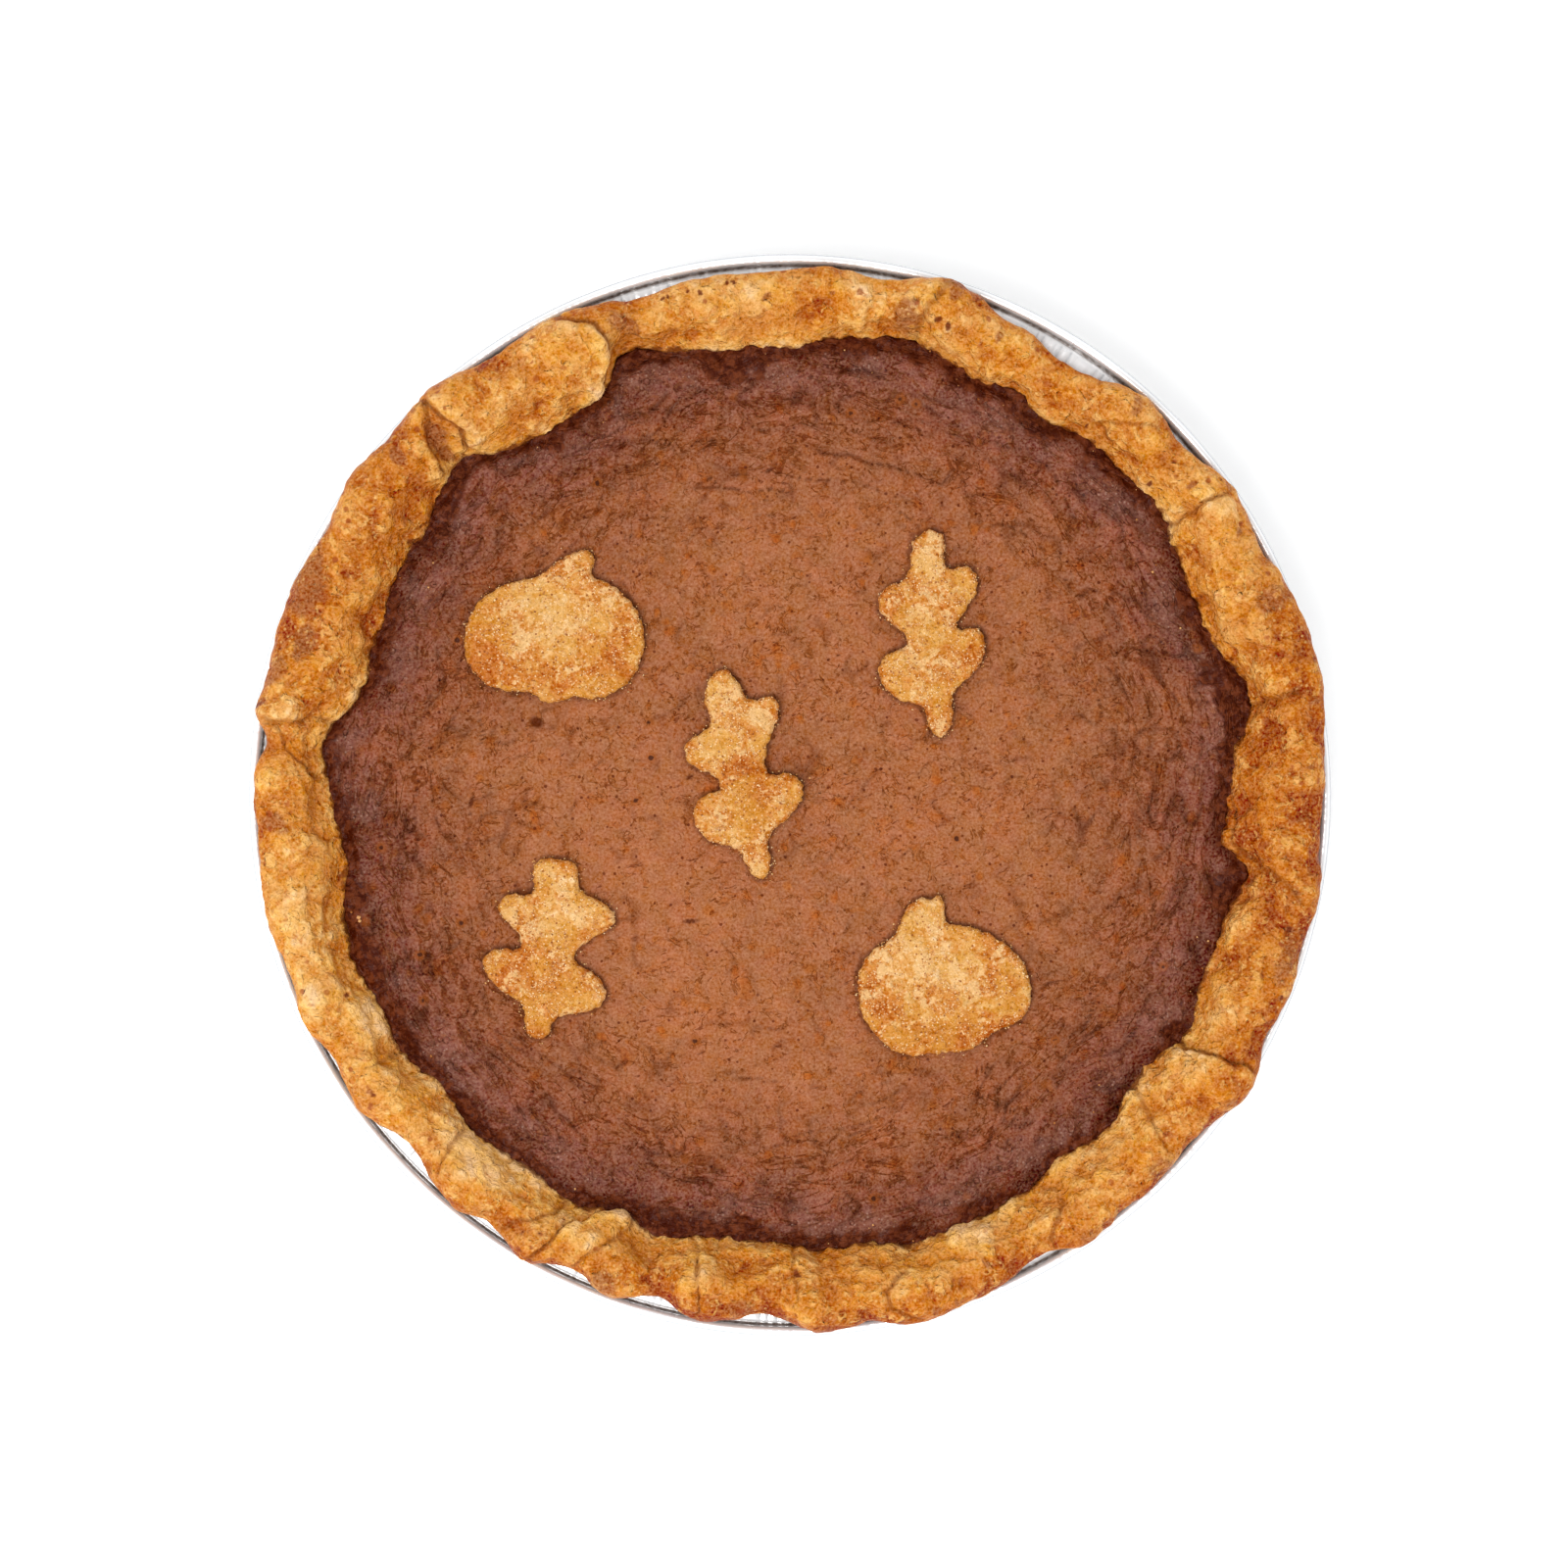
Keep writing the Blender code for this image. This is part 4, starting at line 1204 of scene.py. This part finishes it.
def makeTin():
    # The profile goes round the axis, with pleats as waves in its radius and crimps in its height.
    turn = np.arange(tin["columns"]) * 2 * np.pi / tin["columns"]
    radius, height, pleated, crimped, upper = tinProfile()
    place = onCircle(turn, tin["noiseCircle"] * mm)
    # pleats are rounded waves whose spacing drifts, crimps finer ones of uneven depth
    pleat = np.sin(tin["pleats"] * (turn + 0.012 * softNoise(place, 30 * mm, 7)))
    pleat = np.sign(pleat) * np.abs(pleat) ** 0.7
    crimp = np.sin(tin["crimps"] * (turn + 0.006 * cloudNoise(place, 9 * mm, 8)))
    crimp = (crimp - 1) * np.clip(0.55 + 1.1 * cloudNoise(place, 3 * mm, 9, 2), 0, 1.3)
    # here and there a crimp is folded right over
    crimp -= 1.2 * patches(place, 1.6 * mm, 11, 0.25, 0.45)
    grid = onCircle(turn, (radius - pleated * tin["pleatDepth"] * (1 + pleat)) * mm)
    grid[..., 2] = (height + crimped * tin["crimpDepth"] * crimp) * mm
    dent = 0.15 * mm * cloudNoise(grid.reshape(-1, 3), 14 * mm, 10).reshape(grid.shape[:2])
    grid[..., 2] += dent * np.minimum(crimped + pleated, 1)
    skin = closedSkin(grid, 0.35 * mm, 0, True)
    piece = makePiece("foil_pie_tin", *skin, foilMaterial(), "foil", ("foil_tin",))
    # masks for the foil's colour: the groove, and painted shade where the edge turns away, in pleat valleys,
    # on the wall and in crimps
    values = {
        "groove": smoothStep(118.85, 119.15, radius) * smoothStep(120.05, 119.65, radius) * upper,
        "turned": smoothStep(121.6, 121.9, radius),   # the outermost part turns away from the light
        "valley": pleated * (0.5 + 0.5 * pleat),
        "wall": smoothStep(0.1, 0.6, pleated),
        "crimp": crimped * upper * np.clip(-crimp / 2.6, 0, 1),
    }
    addValues(piece, **{name: (value + 0 * turn).ravel() for name, value in values.items()})


def foilMaterial():
    # Foil, with painted shade on the wall, in pleats and crimps and where the edge turns away, and a dark
    # brown groove by the rolled edge.
    material = startMaterial("crimpedFoil", 0.3, metallic=0.45)
    groove, crimp, turned, valley, wall = (
        readValues(name) for name in ("groove", "crimp", "turned", "valley", "wall"))
    scuff = noise(14, 3, 0.5)
    fine = noise(1.2, 2, 0.5)
    making["colour"] = blendColour(spread(scuff, 0.3, 0.7), (0.97, 0.975, 0.985), (0.91, 0.915, 0.925))
    # painted shade on the wall, in crimps, in pleat valleys and where the edge turns away
    paint((0.52, 0.53, 0.545), wall)
    paint((0.34, 0.36, 0.38), spread(crimp, 0.25, 0.9, 0, 0.7))
    paint((0.25, 0.255, 0.265), spread(valley, 0.1, 0.9, 0, 0.75))
    paint((0.25, 0.28, 0.31), times(turned, 0.95))
    # the groove by the rolled edge is dark brown, broken a little by noise
    grooveDark = times(groove, spread(fine, 0.35, 0.65, 1, 0.8))
    paint((0.11, 0.085, 0.07), grooveDark)
    wire(making["colour"], "Base Color")
    wire(spread(scuff, 0.3, 0.7, 0.2, 0.32), "Roughness")
    addRelief((scuff, 0.2, 0.8), (fine, 0.15, 0.1))
    return material


makeTin()


# Sugar grains and crumbs

grains = {
    "tries": 9000,            # places tried on each cut-out
    "small": 0.11,            # mm, half a grain's width
    "large": 0.27,
    "fallen": 1.5,            # mm, how far outside an outline they are tried
    "cover": 0.22,            # chance that a place is kept, on average and more or less in clumps
    "clumps": 0.75,
    "strays": 0.3,            # chance just outside, falling off over so many mm
    "strayReach": 0.45,
    "colours": ((0, (0.32, 0.095, 0.025)), (0.25, (0.54, 0.22, 0.06)), (0.6, (0.7, 0.39, 0.14)),
                (1, (0.86, 0.64, 0.36))),
}


def octahedron(divided):
    # Eight faces on six corners. Divided, each edge is halved, the new points move out to the
    # sphere and each face becomes four.
    corners = np.concatenate((np.eye(3), -np.eye(3)))
    sides = ((0, 1), (1, 3), (3, 4), (4, 0))
    faces = np.array([(a, b, 2) for a, b in sides] + [(b, a, 5) for a, b in sides])
    if divided:
        edges = np.sort(faces[:, ((0, 1), (1, 2), (2, 0))].reshape(-1, 2), axis=1)
        unique, back = np.unique(edges, axis=0, return_inverse=True)
        corners = np.concatenate((corners, corners[unique].sum(axis=1) / math.sqrt(2)))
        (a, b, c), (ab, bc, ca) = faces.T, back.reshape(-1, 3).T + 6
        faces = np.concatenate([np.stack(face, -1) for face in (
            (a, ab, ca), (ab, b, bc), (ca, bc, c), (ab, bc, ca))])
    return corners, faces


def makeGrains(name, centres, sizes, tintSeed, material, slotName, seed, jag, divided=False):
    # Each grain is an octahedron with uneven corners, turned by a random frame.
    rng = np.random.default_rng(seed)
    corners, faces = octahedron(divided)
    count, each = len(centres), len(corners)
    axes, _ = np.linalg.qr(rng.normal(size=(count, 3, 3)))
    axes[np.linalg.det(axes) < 0, :, 0] *= -1
    shape = corners[None] * (1 + jag * rng.uniform(-1, 1, size=(count, each, 1)))
    points = np.einsum("nij,nkj->nki", axes, shape) * sizes[:, None, None] + centres[:, None, :]
    tris = faces[None] + each * np.arange(count)[:, None, None]
    piece = makePiece(name, points.reshape(-1, 3), (), tris.reshape(-1, 3), material, slotName)
    piece.data.shade_flat()
    addValues(piece, tint=np.repeat(np.random.default_rng(tintSeed).random(count), each))


def sprinkle():
    # Grains lie thickest in clumps, and a few have fallen just outside each outline.
    rng = np.random.default_rng(5)
    centres, sizes = [], []
    for number, nodeName in enumerate(cutoutNodes):
        low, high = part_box(nodeName)
        margin = grains["fallen"] * mm
        x, y = (rng.uniform(low[axis] - margin, high[axis] + margin, grains["tries"]) for axis in (0, 1))
        depth = insideDistance(x, y, cutoutEdges[nodeName])
        clump = cloudNoise(levelPoints(x, y), 5 * mm, 300 + number, 2)
        chance = np.where(depth > 0.1 * mm, grains["cover"] + grains["clumps"] * np.clip(clump, -0.25, 0.6),
                          grains["strays"] * np.exp(depth / (grains["strayReach"] * mm)))
        keep = rng.random(len(x)) < chance
        x, y, depth = x[keep], y[keep], depth[keep]
        base = low[2] - cutout["sink"]
        top = cutoutTop(x, y, np.maximum(depth, 0), base, high[2] - base, cutoutSeeds[nodeName])
        size = rng.uniform(grains["small"] * mm, grains["large"] * mm, len(x))
        centres.append(np.stack((x, y, np.where(depth > 0, top + 0.1 * size, fillingTop + 0.15 * mm)), -1))
        sizes.append(size)
    return np.concatenate(centres), np.concatenate(sizes)


def sugarMaterial():
    # Each grain has one colour, from rusty to clear.
    material = startMaterial("spicedSugar", 0.3, specular=0.3)
    wire(colourRamp(readValues("tint"), grains["colours"]), "Base Color")
    return material


makeGrains("sugar_grains", *sprinkle(), 8, sugarMaterial(), "sugared_pastry", 61, 0.3)


# Crumbs of crust on the custard: x and y of the larger ones in mm and half their width in mm.
crumbs = {
    "large": ((-97.3, -27.6, 0.5), (-97.1, -28.3, 0.4), (81.9, 50.4, 0.35), (82.6, 52, 0.25)),
    "small": 44,
    "smallSize": (0.12, 0.28),   # mm
    "strip": 8,               # mm, how far in from the crust the small ones lie
    "colours": ((0, (0.24, 0.066, 0.014)), (0.5, (0.42, 0.16, 0.045)), (1, (0.66, 0.37, 0.15))),
}


def dropCrumbs():
    # Small ones lie at random turns, the more the nearer the crust, on the custard's own height.
    rng = np.random.default_rng(12)
    count = crumbs["small"]
    turn = rng.random(count) * 2 * np.pi
    radius = borderRadius(turn) - (0.3 + crumbs["strip"] * rng.random(count) ** 2.5) * mm
    largeX, largeY, largeSize = np.array(crumbs["large"]).T * mm
    x = np.concatenate((largeX, radius * np.cos(turn)))
    y = np.concatenate((largeY, radius * np.sin(turn)))
    size = np.concatenate((largeSize, rng.uniform(*crumbs["smallSize"], count) * mm))
    gap = (borderRadius(np.arctan2(y, x)) - np.hypot(x, y)) / mm
    lift, _ = fillingRelief(x, y, gap)
    return np.stack((x, y, fillingTop + lift * mm + 0.3 * size), -1), size


def crumbMaterial():
    # Each crumb has its own colour, with fine noise on it.
    material = startMaterial("crustCrumb", 0.6, specular=0.05)
    fine = noise(0.6, 2, 0.6)
    wire(colourRamp(total(readValues("tint"), wobble(fine, 0.6)), crumbs["colours"]), "Base Color")
    addRelief((fine, 0.6, 0.2))
    return material


makeGrains("crust_crumbs", *dropCrumbs(), 13, crumbMaterial(), "baked_crust", 62, 0.25, True)


# Floor, lights and camera

studio = {
    "zenith": 0.62,           # world brightness straight up
    "horizon": 1.45,          # and at the horizon
    "keyPower": 24,
    "keySize": 1.2,
    "keyPlace": (-0.5, -0.55, 1.75),
    "floorTone": 0.94,
    "floorGlow": 0.2,         # light of its own, as on a light table
    "cameraPlace": (-1.33 * mm, 2.54 * mm, 1.181),
    "lens": 117.1,
}


def makeStudio():
    # A pale floor, a sky, one lamp pointing at the origin and the camera above the pie.
    bpy.ops.mesh.primitive_plane_add(size=8)
    floor = bpy.context.object
    floor.name = "studio_floor"
    material = startMaterial("paleFloor", 0.9, specular=0.05)
    wire([studio["floorTone"]] * 3, "Base Color")
    wire((1, 1, 1), "Emission Color")
    wire(studio["floorGlow"], "Emission Strength")
    floor.data.materials.append(material)

    # the sky is brighter low down than overhead
    world = bpy.data.worlds.new("studio")
    world.use_nodes = True
    making["tree"] = world.node_tree
    making["shader"] = world.node_tree.nodes["Background"]
    split = addNode("SeparateXYZ", _0=addNode("TexCoord").outputs["Generated"])
    wire(spread(split.outputs["Z"], 0, 1, studio["horizon"], studio["zenith"]), "Strength")
    wire((1, 1, 1), "Color")
    bpy.context.scene.world = world

    lamp = bpy.data.lights.new("key", "AREA")
    lamp.shape = "DISK"
    lamp.size = studio["keySize"]
    lamp.energy = studio["keyPower"]
    key = bpy.data.objects.new("key", lamp)
    key.location = studio["keyPlace"]
    key.rotation_euler = (-Vector(studio["keyPlace"])).to_track_quat("-Z", "Y").to_euler()
    bpy.context.scene.collection.objects.link(key)

    camera = bpy.data.objects.new("camera", bpy.data.cameras.new("camera"))
    camera.data.lens = studio["lens"]
    camera.location = studio["cameraPlace"]
    bpy.context.scene.collection.objects.link(camera)
    bpy.context.scene.camera = camera
    bpy.context.scene.view_settings.view_transform = "Standard"


makeStudio()
print("studio made")
